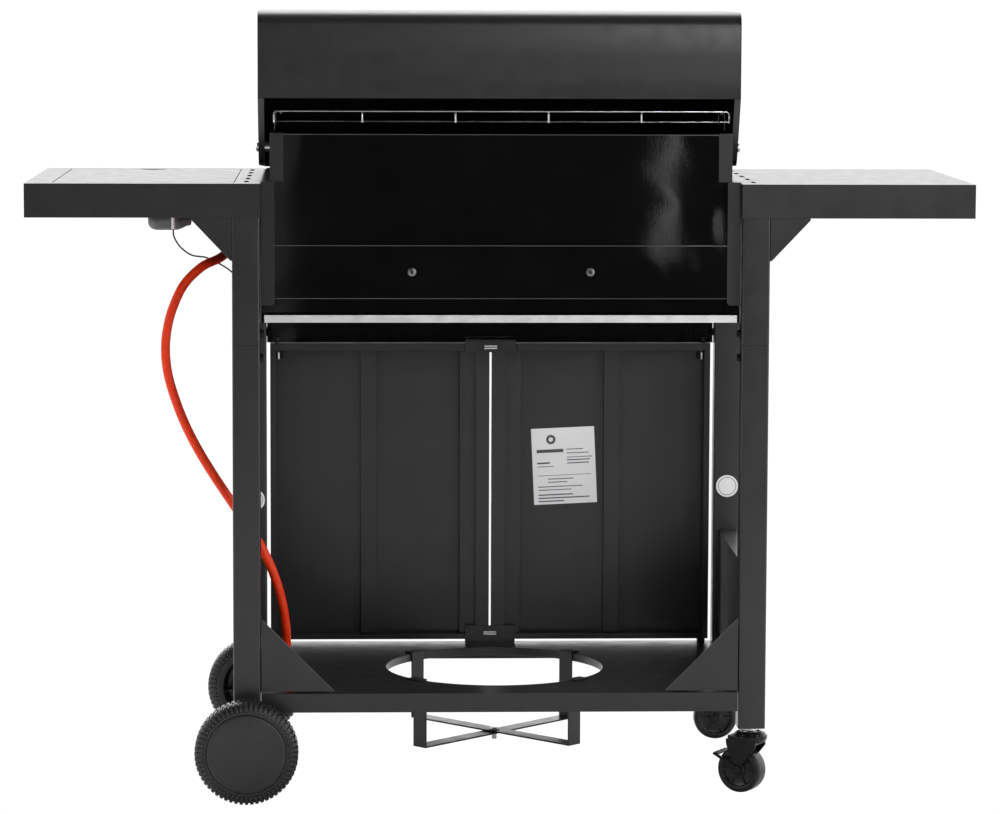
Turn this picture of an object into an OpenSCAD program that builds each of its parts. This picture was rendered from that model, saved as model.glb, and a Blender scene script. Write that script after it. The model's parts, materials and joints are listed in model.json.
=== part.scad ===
// Gas barbecue grill on a wheeled cart: firebox with hinged lid, two side
// shelves (one with a side burner), cabinet doors, gas hose and drip tray.
// Millimetres. X runs along the width (side burner at +X), the cooking side
// faces -Y, and the floor is z = 0 under the middle of the cart.

/* [Cart] */
// Width across the outer faces of the legs
cart_w = 776; // [770:1:782]
// Depth across the front and rear faces of the legs
cart_d = 456; // [452:1:458]
// Side of the square leg tubes
leg_side = 40; // [38:1:40]
// Wall of the leg tubes
leg_wall = 1.5; // [1.2:0.1:2]
// Height of the base panel's top face
deck_z = 152; // [150:1:154]
// Height of the joint between lower and upper legs
seam_z = 661; // [655:1:667]
// Diameter of the gas bottle opening in the base panel
bottle_hole_d = 328; // [300:1:330]
// Height of the half-height side panels' top edge
side_panel_top = 334; // [300:1:340]

/* [Doors] */
// Height of the doors' lower edge
door_bottom = 158.3; // [157:0.1:161]
// Height of the doors' upper edge
door_top = 624; // [618:0.5:624]
// Half the width across both closed doors
door_half_w = 342.5; // [340:0.1:343]
// Gap between the two closed doors
door_gap = 3.4; // [3:0.2:5]
// Depth of the doors' folded edges
door_depth = 22; // [20:1:24]

/* [Shelves] */
// Height of the shelf tops
shelf_z = 894; // [893:0.5:895]
// Distance from the middle of the cart to a shelf's outer end
shelf_reach = 684.5; // [670:0.5:690]
// Height of the folded shelf aprons
shelf_h = 49; // [45:1:50]

/* [Firebox and lid] */
// Top of the firebox's rear wall
rear_wall_top = 964; // [960:1:966]
// Top of the closed lid
lid_top = 1140; // [1135:1:1150]
// Lower edge of the lid's rear skirt
lid_skirt_z = 1016; // [1010:1:1020]
// Sideways set of the lid on its hinge bolts
lid_offset = 3; // [0:0.5:3]
// Number of main burners
burner_count = 4; // [4:1:4]

/* [Wheels] */
// Diameter of the two large wheels
wheel_d = 150; // [148:1:152]
// Width of the large wheels
wheel_w = 42; // [36:1:42]
// Diameter of the caster wheels
caster_d = 68; // [64:1:68]
// Width of the caster wheels
caster_w = 28; // [24:1:28]
// Turn of the rear caster about its stem
rear_caster_turn = -32; // [-35:1:35]

/* [Gas] */
// Outer diameter of the gas hose
hose_d = 13.5; // [12:0.5:13.5]
// Outer diameter of the igniter wire
wire_d = 2.5; // [2:0.5:2.5]

/* [Hidden] */
$fn = 48;

sheet = 1.2;            // general sheet metal
run = 0.05;             // radial clearance of a running fit
leg_in = cart_w / 2 - leg_side;
leg_out = cart_w / 2;
leg_mid = leg_in + leg_side / 2;
leg_y = cart_d / 2 - leg_side;
face_y = cart_d / 2;
leg_y_mid = leg_y + leg_side / 2;
caster_leg_z = 98;
wheel_leg_z = 56;
leg_top = 855;           // tops of the legs, inside the shelf aprons
deck_skirt = 28;
hole_y = -2;           // centre of the bottle opening
rim_h = 12;
axle_z = wheel_d / 2;
axle_r = 5;
shelf_in = leg_in - 1.2;
shelf_y = face_y + 2;
panel_y = [-250, -231]; // control panel, front and back
panel_z = [762, 890];
knob_z = 826;
knob_x = [-260, -130, 0, 130];
side_knob_x = 260;
manifold_z = 800;
inlet_x = 398;          // where the gas comes in, beside the front leg
feed_x = 408;           // feed pipe of the side burner
feed_z = 829;
button_x = 195;
rack_x = -2;            // middle of the warming rack
box_end = 346.5;        // outer half width of the firebox, lower part
box_end_top = 333.6;    // the same above the step
step_z = 896;
band_top = 804;
band_bottom = 727.5;
burner_pitch = 165;
burner_z = 775;
hinge = [165, 945];     // lid hinge axis, Y and Z
lid_x = [lid_offset - 347.5, lid_offset + 347.5];
lid_back = 215;
cover_x = [386, 645];   // flush cover of the side burner
cover_y = [-199, 204];
cover_hinge = [198, 889];
door_hinge = [332, -217];
tray_z = [693, 704];
bracket_w = 58;
bracket_h = 62;
caster_trail = 13;
black = [0.10, 0.10, 0.11];
enamel = [0.05, 0.05, 0.06];
steel = [0.72, 0.72, 0.74];

// Route of the hose's centre line, from the gas inlet to the bottle fitting
hose_route = [
    [398, -212, 800], [398, -160, 800], [398, -90, 800], [398, -20, 798],
    [398, 35, 793], [400, 80, 785], [411, 116, 778], [434, 138, 768],
    [459, 151, 744], [475, 157, 712], [484, 158, 680], [487, 157, 646],
    [483, 156, 610], [472, 155, 572],
    [458, 153, 536], [440, 151, 500], [418, 149, 463], [394, 147, 426],
    [371, 144, 391], [349, 140, 356], [330, 135, 312], [318, 129, 268],
    [313, 120, 226], [313, 101, 190], [313, 70, 170], [313, 40, 164.5],
    [313, 22, 164.5]
];
hose_end = hose_route[len(hose_route) - 1];

// Route of the igniter wire, from the electrode to the control panel's end
wire_route = [
    [479, 60, 817.3], [478.5, 60, 808], [473, 60, 797], [464, 60, 787],
    [451, 60, 779], [431, 60, 776], [414, 58, 768], [400, 50, 759],
    [394, 30, 752], [393, -10, 748], [393, -60, 747], [393, -120, 748],
    [393, -170, 752], [394, -205, 760], [397, -228, 770], [397, -239, 776],
    [393, -241, 779], [388.2, -241, 780]
];

// ---- helpers ----
module block(x, y, z) {
    translate([x[0], y[0], z[0]]) cube([x[1] - x[0], y[1] - y[0], z[1] - z[0]]);
}

module both_sides() {
    children();
    mirror([1, 0, 0]) children();
}

module front_and_rear() {
    children();
    mirror([0, 1, 0]) children();
}

module four_corners() {
    both_sides() front_and_rear() children();
}

// Round bar along X, Y or Z between two coordinates
module rod_x(r, x, y, z) {
    translate([x[0], y, z]) rotate([0, 90, 0]) cylinder(r = r, h = x[1] - x[0]);
}

module rod_y(r, x, y, z) {
    translate([x, y[1], z]) rotate([90, 0, 0]) cylinder(r = r, h = y[1] - y[0]);
}

module rod_z(r, x, y, z) {
    translate([x, y, z[0]]) cylinder(r = r, h = z[1] - z[0]);
}

// Extrudes an outline drawn in (Y, Z) along X
module along_x(x) {
    translate([x[0], 0, 0]) rotate([90, 0, 90]) linear_extrude(x[1] - x[0]) children();
}

// Extrudes an outline drawn in (X, Z) along Y
module along_y(y) {
    translate([0, y[1], 0]) rotate([90, 0, 0]) linear_extrude(y[1] - y[0]) children();
}

function arc(c, r, from, to, n) =
    [for (i = [0:n]) let (a = from + (to - from) * i / n) c + r * [cos(a), sin(a)]];

function unit(v) = v / norm(v);

// Point on a smooth curve through the route, between points i and i + 1
function smooth(p, i, t) =
    let (a = p[max(i - 1, 0)], b = p[i], c = p[i + 1], d = p[min(i + 2, len(p) - 1)])
    0.5 * (2 * b + (c - a) * t + (2 * a - 5 * b + 4 * c - d) * t * t
           + (3 * b - a - 3 * c + d) * t * t * t);

// The route with some steps per stretch
function refine(p, steps) = concat(
    [for (i = [0:len(p) - 2], k = [0:steps - 1]) smooth(p, i, k / steps)],
    [p[len(p) - 1]]);

function heading(p, i) = unit(p[min(i + 1, len(p) - 1)] - p[max(i - 1, 0)]);

// A vector square to the path, carried along from ring to ring
function carry(p, i, last) =
    let (t = heading(p, i), u = unit(last - (last * t) * t))
    i == len(p) - 1 ? [u] : concat([u], carry(p, i + 1, u));

// Closed tube swept along a path, its ends square to the given directions
module swept_tube(path, d, sides, first) {
    n = len(path);
    side = carry(path, 0, first);
    points = [for (i = [0:n - 1], k = [0:sides - 1])
        let (t = heading(path, i), u = side[i], w = cross(t, u), a = 360 * k / sides)
        path[i] + d / 2 * (cos(a) * u + sin(a) * w)];
    walls = [for (i = [0:n - 2], k = [0:sides - 1])
        [i * sides + k, (i + 1) * sides + k,
         (i + 1) * sides + (k + 1) % sides, i * sides + (k + 1) % sides]];
    start_cap = [for (k = [0:sides - 1]) k];
    end_cap = [for (k = [sides - 1:-1:0]) (n - 1) * sides + k];
    polyhedron(points, concat(walls, [start_cap], [end_cap]), convexity = 10);
}

// ---- cart frame ----
module square_tube(side, wall, z) {
    difference() {
        translate([-side / 2, -side / 2, z[0]]) cube([side, side, z[1] - z[0]]);
        translate([-side / 2 + wall, -side / 2 + wall, z[0] - 1])
            cube([side - 2 * wall, side - 2 * wall, z[1] - z[0] + 2]);
    }
}

// Four lower legs; the wheel side's pair is drilled for the axle
module lower_legs() {
    color(black) {
        front_and_rear() translate([-leg_mid, leg_y_mid, 0])
            square_tube(leg_side, leg_wall, [caster_leg_z, seam_z - 0.3]);
        difference() {
            front_and_rear() translate([leg_mid, leg_y_mid, 0])
                square_tube(leg_side, leg_wall, [wheel_leg_z, seam_z - 0.3]);
            rod_y(axle_r + run, leg_mid, [-cart_d, cart_d], axle_z);
        }
    }
}

// Upper legs with a reduced spigot that slides into the lower ones
module upper_legs() {
    spigot = leg_side - 2 * leg_wall - 0.6;
    color(black) four_corners() translate([leg_mid, leg_y_mid, 0]) {
        square_tube(leg_side, leg_wall + 0.5, [seam_z, leg_top]);
        square_tube(spigot, leg_wall + 0.5, [seam_z - 60, seam_z + 1]);
    }
}

// Folded base panel with the bottle opening, its turned-down rim and the
// two blocks that take the doors' lower hinge pins
module base_panel() {
    half = [leg_in - 0.5, face_y - 1.5];
    bottom = deck_z - deck_skirt;
    color(black) difference() {
        union() {
            block([-half[0], half[0]], [-half[1], half[1]], [deck_z - sheet, deck_z]);
            both_sides()
                block([half[0] - sheet, half[0]], [-leg_y, leg_y], [bottom, deck_z]);
            front_and_rear()
                block([-half[0], half[0]], [half[1] - sheet, half[1]], [bottom, deck_z]);
            rod_z(bottle_hole_d / 2 + sheet, 0, hole_y, [deck_z - rim_h, deck_z]);
            both_sides() block([door_hinge[0] - 6, door_hinge[0] + 6],
                [door_hinge[1] - 8, door_hinge[1] + 8], [deck_z, door_bottom - 0.5]);
        }
        rod_z(bottle_hole_d / 2, 0, hole_y, [bottom, deck_z + 1]);
        both_sides() rod_z(3 + run, door_hinge[0], door_hinge[1], [deck_z + 0.1, deck_z + 10]);
    }
}

// Triangular gussets between the rear legs and the base panel
module rear_gussets() {
    size = 106;
    foot = deck_z + 3.5;
    edge = leg_in - 1;
    color(black) both_sides() {
        along_y([face_y - 1.6, face_y - 0.4])
            polygon([[edge, foot], [edge, foot + size], [edge - size, foot]]);
        block([edge - sheet, edge], [face_y - 20, face_y - 1.6], [foot, foot + size - 12]);
        block([edge - size + 12, edge - sheet], [face_y - 20, face_y - 1.6],
              [foot, foot + sheet]);
    }
}

// Half-height panels between the legs, their top edge folded outwards
module side_panels() {
    face = leg_in + 8;
    color(black) both_sides() {
        block([face, face + sheet], [-leg_y + 0.5, leg_y - 0.5], [deck_z, side_panel_top]);
        block([face + sheet, leg_out - 4], [-leg_y + 0.5, leg_y - 0.5],
              [side_panel_top - sheet, side_panel_top]);
    }
}

// Cross panel between the front legs, over the doors
module front_valance() {
    low = door_top + 1;
    half = leg_in - 0.5;
    color(black) difference() {
        union() {
            block([-half, half], [-face_y, -face_y + sheet], [low, panel_z[0] - 0.5]);
            block([-half, half], [-face_y, -face_y + door_depth], [low, low + sheet]);
        }
        both_sides() rod_z(3 + run, door_hinge[0], door_hinge[1], [low - 1, low + 5]);
    }
}

// Magnet catches behind the meeting edges of the doors, top and bottom
module door_catches() {
    back = -face_y + door_depth + 1;
    color(black) {
        difference() {
            union() {
                block([-39, 39], [back, back + sheet], [door_top - 14, door_top + 5.4]);
                block([-39, 39], [back - 10, back + 12], [door_top + 4.2, door_top + 5.4]);
            }
            block([-12, 12], [back - 1, back + 2], [door_top - 9, door_top - 4]);
        }
        block([-9, 9], [back + sheet, back + 6], [door_top - 10, door_top - 3]);
        difference() {
            union() {
                block([-39, 39], [back, back + sheet], [deck_z, door_bottom + 22]);
                block([-39, 39], [back + sheet, back + 20], [deck_z, deck_z + sheet]);
            }
            block([-12, 12], [back - 1, back + 2], [door_bottom + 8, door_bottom + 13]);
        }
        block([-9, 9], [back + sheet, back + 6], [door_bottom + 7, door_bottom + 14]);
    }
}

// Folded control panel across the front, open at the back
module control_panel() {
    half = leg_out;
    inner = leg_in - 2;
    color(black) difference() {
        union() {
            block([-half, half], [panel_y[0], panel_y[0] + sheet], panel_z);
            block([-half, half], panel_y, [panel_z[0], panel_z[0] + sheet]);
            block([-half, half], panel_y, [panel_z[1] - sheet, panel_z[1]]);
            block([-inner, inner], [panel_y[1], -206], [panel_z[1] - sheet, panel_z[1]]);
            both_sides() block([half - sheet, half], panel_y, panel_z);
        }
        for (x = concat(knob_x, [side_knob_x]))
            rod_y(5.2, x, [panel_y[0] - 1, panel_y[0] + 4], knob_z);
        rod_y(8 + run, button_x, [panel_y[0] - 1, panel_y[0] + 4], knob_z);
        rod_x(7.5, [half - 4, half + 1], -239, manifold_z);
    }
}

// ---- firebox ----
module firebox_rear() {
    low_half = box_end - 1.5;
    top_half = box_end_top - 1.5;
    color(enamel) {
        block([-top_half, top_half], [206.8, 208], [band_top - sheet, rear_wall_top]);
        block([-top_half, top_half], [196, 206.8], [rear_wall_top - sheet, rear_wall_top]);
        block([-low_half, low_half], [208, 212], [band_top - sheet, band_top]);
        block([-low_half, low_half], [210.8, 212], [band_bottom, band_top - sheet]);
        block([-top_half, top_half], [192, 206.8], [864.8, 866]);
    }
}

module firebox_front() {
    low_half = box_end - 1.5;
    top_half = box_end_top - 1.5;
    color(enamel) difference() {
        union() {
            block([-low_half, low_half], [-205, -203.8], [722, 894.5]);
            block([-top_half, top_half], [-205, -203.8], [894.5, 903]);
            block([-top_half, top_half], [-203.8, -196], [901.8, 903]);
            block([-top_half, top_half], [-203.8, -190], [864.8, 866]);
        }
        for (i = [0:burner_count - 1])
            rod_y(13, burner_x(i), [-210, -200], burner_z);
    }
}

function burner_x(i) = (i - (burner_count - 1) / 2) * burner_pitch;

// Stepped end plate with a turned edge over the rear wall
module firebox_end() {
    color(enamel) difference() {
        union() {
            block([box_end - sheet, box_end], [-203.5, 213.5], [717.5, step_z]);
            block([box_end_top, box_end - sheet], [-203.5, 209.6], [step_z - sheet, step_z]);
            block([box_end_top - sheet, box_end_top], [-203.5, 209.6],
                  [step_z - sheet, rear_wall_top + 2]);
            along_y([212.3, 213.5]) polygon(concat(
                [[box_end - sheet, 717.5], [box_end - sheet, step_z], [327, step_z]],
                arc([333, 723.5], 6, 180, 270, 5)));
            block([314, box_end_top - sheet], [208.4, 209.6], [step_z, rear_wall_top + 2]);
        }
        rod_x(4 + run, [box_end_top - 5, box_end_top + 5], hinge[0], hinge[1]);
    }
}

module firebox_end_right() {
    firebox_end();
}

module firebox_end_left() {
    mirror([1, 0, 0]) firebox_end();
}

// Sloped floor sheets that lead fat to the drip tray
module firebox_floor() {
    half = box_end - 2;
    color(enamel) front_and_rear() {
        block([-half, half], [198, 198 + sheet], [706, 742]);
        along_x([-half, half])
            polygon([[198, 728], [198, 729.5], [70, 713.5], [70, 712]]);
    }
}

// Ledges under the firebox ends that carry the drip tray
module tray_rails() {
    color(black) both_sides() {
        block([box_end - sheet, box_end], [-200, 205], [tray_z[0] - 1.6, 717.5]);
        block([box_end - 16, box_end - sheet], [-200, 205],
              [tray_z[0] - 1.6, tray_z[0] - 0.4]);
    }
}

module drip_tray() {
    half = 341;
    color(steel) difference() {
        union() {
            block([-half, half], [-195, 215], [tray_z[0], tray_z[1] - 1]);
            block([-half - 1, half + 1], [214.8, 216], tray_z);
        }
        block([-half + 0.8, half - 0.8], [-194.2, 214], [tray_z[0] + 0.8, tray_z[1] + 1]);
    }
}

// Round burner tubes, open at the venturi end in front
module burner_tubes() {
    color(steel) for (i = [0:burner_count - 1]) difference() {
        union() {
            rod_y(12.5, burner_x(i), [-212, 190], burner_z);
            rod_y(4, burner_x(i), [190, 200], burner_z);
        }
        rod_y(11.3, burner_x(i), [-213, 180], burner_z);
        rod_x(5, [burner_x(i) - 14, burner_x(i) + 14], -209, burner_z);
    }
}

// Steel roofs over the burners
module flame_tamers() {
    color(steel) for (i = [0:burner_count - 1]) translate([burner_x(i), 0, 0])
        along_y([-196, 190]) polygon([[-58, 798], [0, 832], [58, 798], [58, 799.6],
                                      [0, 833.8], [-58, 799.6]]);
}

// Two cast grates of parallel bars
module cooking_grates() {
    z = [866.2, 878];
    bars = 15;
    color(black) both_sides() {
        for (i = [0:bars - 1])
            block([12 + i * 21.6, 18 + i * 21.6], [-190, 192], z);
        for (y = [-190, -3, 184])
            block([12, 320.4], [y, y + 8], [z[0], z[1] - 3]);
    }
}

// Wire rack over the grates with a raised rear edge
module warming_rack() {
    z = [981, 996];
    back = 165;
    end = 331;
    $fn = 8;
    color(steel) {
        translate([rack_x, 0, 0]) {
            for (h = z) rod_x(2, [-end, end], back, h);
            for (y = [50:23:142]) rod_x(1.5, [-end, end], y, z[1]);
            both_sides() {
                rod_z(2, end, back, z);
                rod_y(1.4, 320, [50, back], z[1] - 0.4);
                for (x = [67.5, 202.5]) {
                    rod_y(1.4, x, [50, back], z[1] - 0.4);
                    rod_z(1.4, x, back, z);
                }
            }
        }
        both_sides() for (y = [50, 142])
            rod_z(2.2, box_end_top - 5, y, [rear_wall_top - 30, z[1]]);
    }
}

// ---- gas train ----
// Supply tube with a valve block for each knob and the inlet elbow
module gas_manifold() {
    y = -239;
    z = manifold_z;
    color(steel) difference() {
        union() {
            rod_x(7, [-290, inlet_x], y, z);
            for (x = concat(knob_x, [side_knob_x]))
                block([x - 10, x + 10], [y - 5, y + 8], [z, knob_z + 12]);
            rod_y(7.5, inlet_x, [y, -212], z);
            translate([inlet_x, y, z]) sphere(7.5);
        }
        for (x = concat(knob_x, [side_knob_x]))
            rod_y(4 + run, x, [y - 6, y + 2], knob_z);
    }
}

module gas_hose() {
    color("orangered") swept_tube(refine(hose_route, 1), hose_d, 12, [1, 0, 0]);
}

// Crimped ferrule and union nut for the bottle regulator
module hose_fitting() {
    thread_r = 8;
    color("goldenrod") difference() {
        union() {
            rod_y(9, hose_end[0], [4, hose_end[1]], hose_end[2]);
            translate([hose_end[0], 4, hose_end[2]]) rotate([90, 0, 0])
                cylinder(r = 12 / cos(30), h = 24, $fn = 6);
        }
        rod_y(thread_r, hose_end[0], [-21, -8], hose_end[2]);
    }
}

module igniter_wire() {
    color("black") swept_tube(refine(wire_route, 2), wire_d, 8, [0, 1, 0]);
}

module igniter_electrode() {
    color("white") rod_z(2.75, 479, 60, [817.5, 856]);
}

// ---- side shelves ----
// Folded shelf with slots near the firebox; the cut-out is subtracted by the caller
module shelf_body() {
    low = shelf_z - shelf_h;
    lip = 10;
    difference() {
        union() {
            block([shelf_in, shelf_reach], [-shelf_y, shelf_y], [shelf_z - sheet, shelf_z]);
            front_and_rear() {
                block([shelf_in, shelf_reach], [shelf_y - sheet, shelf_y], [low, shelf_z]);
                block([leg_out + 2, shelf_reach], [shelf_y - lip, shelf_y], [low, low + sheet]);
            }
            block([shelf_reach - sheet, shelf_reach], [-shelf_y, shelf_y], [low, shelf_z]);
            block([shelf_in, shelf_in + sheet], [-shelf_y, shelf_y], [low, shelf_z]);
        }
        for (y = [-170:85:170]) {
            block([leg_mid - 3.3, leg_mid + 3.3], [y - 17, y + 17], [shelf_z - 3, shelf_z + 1]);
            for (s = [-17, 17]) rod_z(3.3, leg_mid, y + s, [shelf_z - 3, shelf_z + 1]);
        }
    }
}

module side_shelf_burner() {
    color(black) difference() {
        shelf_body();
        block([cover_x[0] - 1.3, cover_x[1] + 1.3], [cover_y[0] - 1.5, cover_y[1] + 2.5],
              [shelf_z - 3, shelf_z + 1]);
    }
}

module side_shelf_plain() {
    color(black) mirror([1, 0, 0]) shelf_body();
}

// Folded triangular brackets between shelf and legs
module shelf_brackets() {
    top = shelf_z - shelf_h;
    color(black) difference() {
        four_corners() {
            along_y([face_y - 1.7, face_y - 0.5])
                polygon([[leg_out, top - bracket_h], [leg_out, top], [leg_out + bracket_w, top],
                         [leg_out + bracket_w, top - 3], [leg_out + 2, top - bracket_h]]);
            block([leg_out, leg_out + sheet], [face_y - 22, face_y - 1.7],
                  [top - bracket_h, top]);
            block([leg_out + sheet, leg_out + bracket_w], [face_y - 22, face_y - 1.7],
                  [top - sheet, top]);
        }
        rod_y(8.6, inlet_x, [-face_y, -face_y + 3], manifold_z);
        rod_y(5, feed_x, [-face_y, -face_y + 3], feed_z);
    }
}

// Sunken pan under the side burner's cover
module side_burner_pan() {
    x = [cover_x[0] - 3, cover_x[1] + 3];
    y = [cover_y[0] - 4, cover_y[1] + 5];
    z = [856, shelf_z - sheet];
    color(enamel) difference() {
        block(x, y, z);
        block([x[0] + 1, x[1] - 1], [y[0] + 1, y[1] - 1], [z[0] + 1, z[1] + 1]);
        rod_z(12, 495, 0, [z[0] - 1, z[0] + 2]);
        rod_x(2 + run, [x[0] - 1, x[0] + 2], cover_hinge[0], cover_hinge[1]);
        rod_x(2 + run, [x[1] - 2, x[1] + 1], cover_hinge[0], cover_hinge[1]);
    }
}

module side_burner_head() {
    color(steel) difference() {
        union() {
            rod_z(40, 495, 0, [861, 871]);
            rod_z(30, 495, 0, [871, 875]);
            rod_z(11.8, 495, 0, [850, 861]);
        }
        for (a = [0:20:340]) rotate_about([495, 0, 0], a)
            rod_x(1.2, [525, 540], 0, 866);
    }
}

module rotate_about(c, a) {
    translate(c) rotate([0, 0, a]) translate(-c) children();
}

// Pot support of bars over the burner head, on four feet in the pan
module side_burner_grate() {
    z = [876, 882];
    color(black) for (a = [0:90:270]) rotate_about([495, 0, 0], a)
        rod_z(2.3, 587.5, 0, [857, z[0]]);
    color(black) difference() {
        union() {
            for (a = [0:45:135]) rotate_about([495, 0, 0], a)
                block([390, 600], [-2.5, 2.5], z);
            rod_z(95, 495, 0, z);
        }
        difference() {
            rod_z(90, 495, 0, [z[0] - 1, z[1] + 1]);
            for (a = [0:45:135]) rotate_about([495, 0, 0], a)
                block([390, 600], [-2.5, 2.5], [z[0] - 2, z[1] + 2]);
            rod_z(14, 495, 0, [z[0] - 2, z[1] + 2]);
        }
    }
}

// Cast venturi under the side burner and its feed pipe
module side_burner_tube() {
    z = feed_z;
    color([0.45, 0.45, 0.46]) {
        translate([503, 0, z]) sphere(16.5);
        rod_x(16.5, [474, 503], 0, z);
        translate([455, 0, z]) rotate([0, 90, 0]) cylinder(r1 = 9, r2 = 16.5, h = 19);
        rod_z(11.5, 495, 0, [z, 850]);
        rod_x(4, [feed_x, 455], 0, z);
        translate([feed_x, 0, z]) sphere(4);
        rod_y(4, feed_x, [-240, 0], z);
        translate([feed_x, -240, z]) sphere(4);
        rod_x(4, [leg_out, feed_x], -240, z);
    }
}

module side_burner_lid() {
    top = [shelf_z - sheet, shelf_z];
    skirt = [shelf_z - 9, shelf_z - sheet];
    color(black) difference() {
        union() {
            block(cover_x, cover_y, top);
            block([cover_x[0], cover_x[0] + sheet], cover_y, skirt);
            block([cover_x[1] - sheet, cover_x[1]], cover_y, skirt);
            block(cover_x, [cover_y[0], cover_y[0] + sheet], skirt);
            rod_x(2, [cover_x[0] - 3.5, cover_x[0] + sheet], cover_hinge[0], cover_hinge[1]);
            rod_x(2, [cover_x[1] - sheet, cover_x[1] + 3.5], cover_hinge[0], cover_hinge[1]);
        }
        rod_z(21, 520, cover_y[0], [shelf_z - 12, shelf_z + 1]);
    }
}

// ---- lid ----
// Lid outline in (Y, Z), set in by t from the outer face
function lid_outline(t) = concat(
    [[lid_back - t, lid_skirt_z]],
    arc([lid_back - 20, lid_top - 20], 20 - t, 0, 90, 8),
    arc([-95, lid_top - 120], 120 - t, 90, 180, 18),
    [[-225 + t, 897]]);

module lid_shell() {
    x = [lid_x[0] + sheet, lid_x[1] - sheet];
    outer = lid_outline(0);
    inner = lid_outline(sheet);
    n = len(inner);
    color(black) difference() {
        along_x(x) polygon(concat(outer, [for (i = [n - 1:-1:0]) inner[i]]));
        rod_y(10.2, lid_offset, [-230, -205], 1015);
    }
}

// End plates with a slanted, folded rear edge; the hinge bolts run in them
module lid_end_plates() {
    corner = arc([150, 935], 18, -90, -30, 6);
    outline = concat(lid_outline(0), corner);
    low = corner[len(corner) - 1];
    high = [lid_back, lid_skirt_z];
    inward = sheet * unit([low[1] - high[1], high[0] - low[0]]);
    color(black) for (s = [0, 1]) {
        x = s == 0 ? [lid_x[0], lid_x[0] + sheet] : [lid_x[1] - sheet, lid_x[1]];
        difference() {
            along_x(x) polygon(outline);
            rod_x(4 + run, [x[0] - 1, x[1] + 1], hinge[0], hinge[1]);
        }
        along_x(s == 0 ? [x[1], x[1] + 8] : [x[0] - 8, x[0]])
            polygon([low, high, high + inward, low + inward]);
    }
}

module lid_handle() {
    y = -282;
    z = 965;
    color(steel) {
        rod_x(11, [lid_offset - 250, lid_offset + 250], y, z);
        for (s = [-215, 215]) rod_y(9, lid_offset + s, [y, -220.5], z);
    }
}

// Dial thermometer with its probe through the lid
module lid_thermometer() {
    z = 1015;
    color(steel) difference() {
        union() {
            rod_y(34, lid_offset, [-236, -221], z);
            rod_y(10, lid_offset, [-221, -200], z);
            rod_y(3, lid_offset, [-200, -120], z);
        }
        rod_y(30, lid_offset, [-237, -232], z);
    }
}

module thermometer_needle() {
    z = 1015;
    color("red") {
        rod_y(3, lid_offset, [-234.5, -232.4], z);
        block([lid_offset - 0.8, lid_offset + 0.8], [-234, -233], [z, z + 24]);
    }
}

// ---- doors ----
// Sheet door with folded edges and hat stiffeners on the inside
module door() {
    x = [door_gap / 2, door_half_w];
    y = [-face_y, -face_y + sheet];
    z = [door_bottom, door_top];
    back = -face_y + door_depth;
    color(black) {
        block(x, y, z);
        for (e = [[x[0], x[0] + sheet], [x[1] - sheet, x[1]]])
            block(e, [y[1], back], z);
        for (e = [[z[0], z[0] + sheet], [z[1] - sheet, z[1]]])
            block([x[0] + sheet, x[1] - sheet], [y[1], back], e);
        block([x[0] + sheet, 22], [back - sheet, back], [z[0] + sheet, z[1] - sheet]);
        block([22, 47.5], [back - 8, back - 8 + sheet], [z[0] + sheet, z[1] - sheet]);
        block([22, 22 + sheet], [back - 8 + sheet, back], [z[0] + sheet, z[1] - sheet]);
        block([178, 202], [y[1], y[1] + 9], [z[0] + 8, z[1] - 8]);
        rod_z(3, door_hinge[0], door_hinge[1], [z[1], z[1] + 8]);
        rod_z(3, door_hinge[0], door_hinge[1], [deck_z + 0.3, z[0]]);
    }
}

module door_right() {
    door();
}

module door_left() {
    mirror([1, 0, 0]) door();
}

module door_handle() {
    x = 34;
    y = -260;
    z = [410, 570];
    color(steel) {
        rod_z(6, x, y, z);
        for (h = [z[0] + 15, z[1] - 15]) rod_y(4, x, [y, -face_y], h);
    }
}

module door_handle_right() {
    door_handle();
}

module door_handle_left() {
    mirror([1, 0, 0]) door_handle();
}

// ---- controls ----
// Knob on its valve stem: skirt, tapered body and finger bar
module knob(x) {
    color("dimgray") {
        rod_y(27, x, [-258, -250.6], knob_z);
        translate([x, -258, knob_z]) rotate([90, 0, 0]) cylinder(r1 = 21, r2 = 19, h = 17);
        difference() {
            block([x - 5, x + 5], [-282, -275], [knob_z - 17, knob_z + 17]);
            block([x - 1, x + 1], [-283, -281], [knob_z + 4, knob_z + 18]);
        }
        rod_y(4, x, [-250.6, -238.5], knob_z);
    }
}

module knob_1() {
    knob(knob_x[0]);
}

module knob_2() {
    knob(knob_x[1]);
}

module knob_3() {
    knob(knob_x[2]);
}

module knob_4() {
    knob(knob_x[3]);
}

module knob_side_burner() {
    knob(side_knob_x);
}

module igniter_button() {
    color("gray") {
        rod_y(8, button_x, [-259, -248.5], knob_z);
        rod_y(11, button_x, [-248.5, -246.5], knob_z);
    }
}

// ---- bottle cradle, axle and fasteners ----
// Two crossing flat-bar straps hung inside the rim of the bottle opening
module bottle_cradle() {
    r = bottle_hole_d / 2 - 0.6;
    bar = 2.5;
    half = 13;
    color(black) for (i = [0, 1]) {
        low = 50 + i * (bar + 0.1);
        translate([0, hole_y, 0]) rotate([0, 0, 45 + 90 * i]) {
            block([-r, r], [-half, half], [low, low + bar]);
            both_sides() {
                block([r - bar, r], [-half, half], [low + bar, deck_z + 0.1 + bar]);
                block([r, r + 14], [-half, half], [deck_z + 0.1, deck_z + 0.1 + bar]);
            }
        }
    }
}

module wheel_axle() {
    color(steel) rod_y(axle_r, leg_mid, [-285, 285], axle_z);
}

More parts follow.
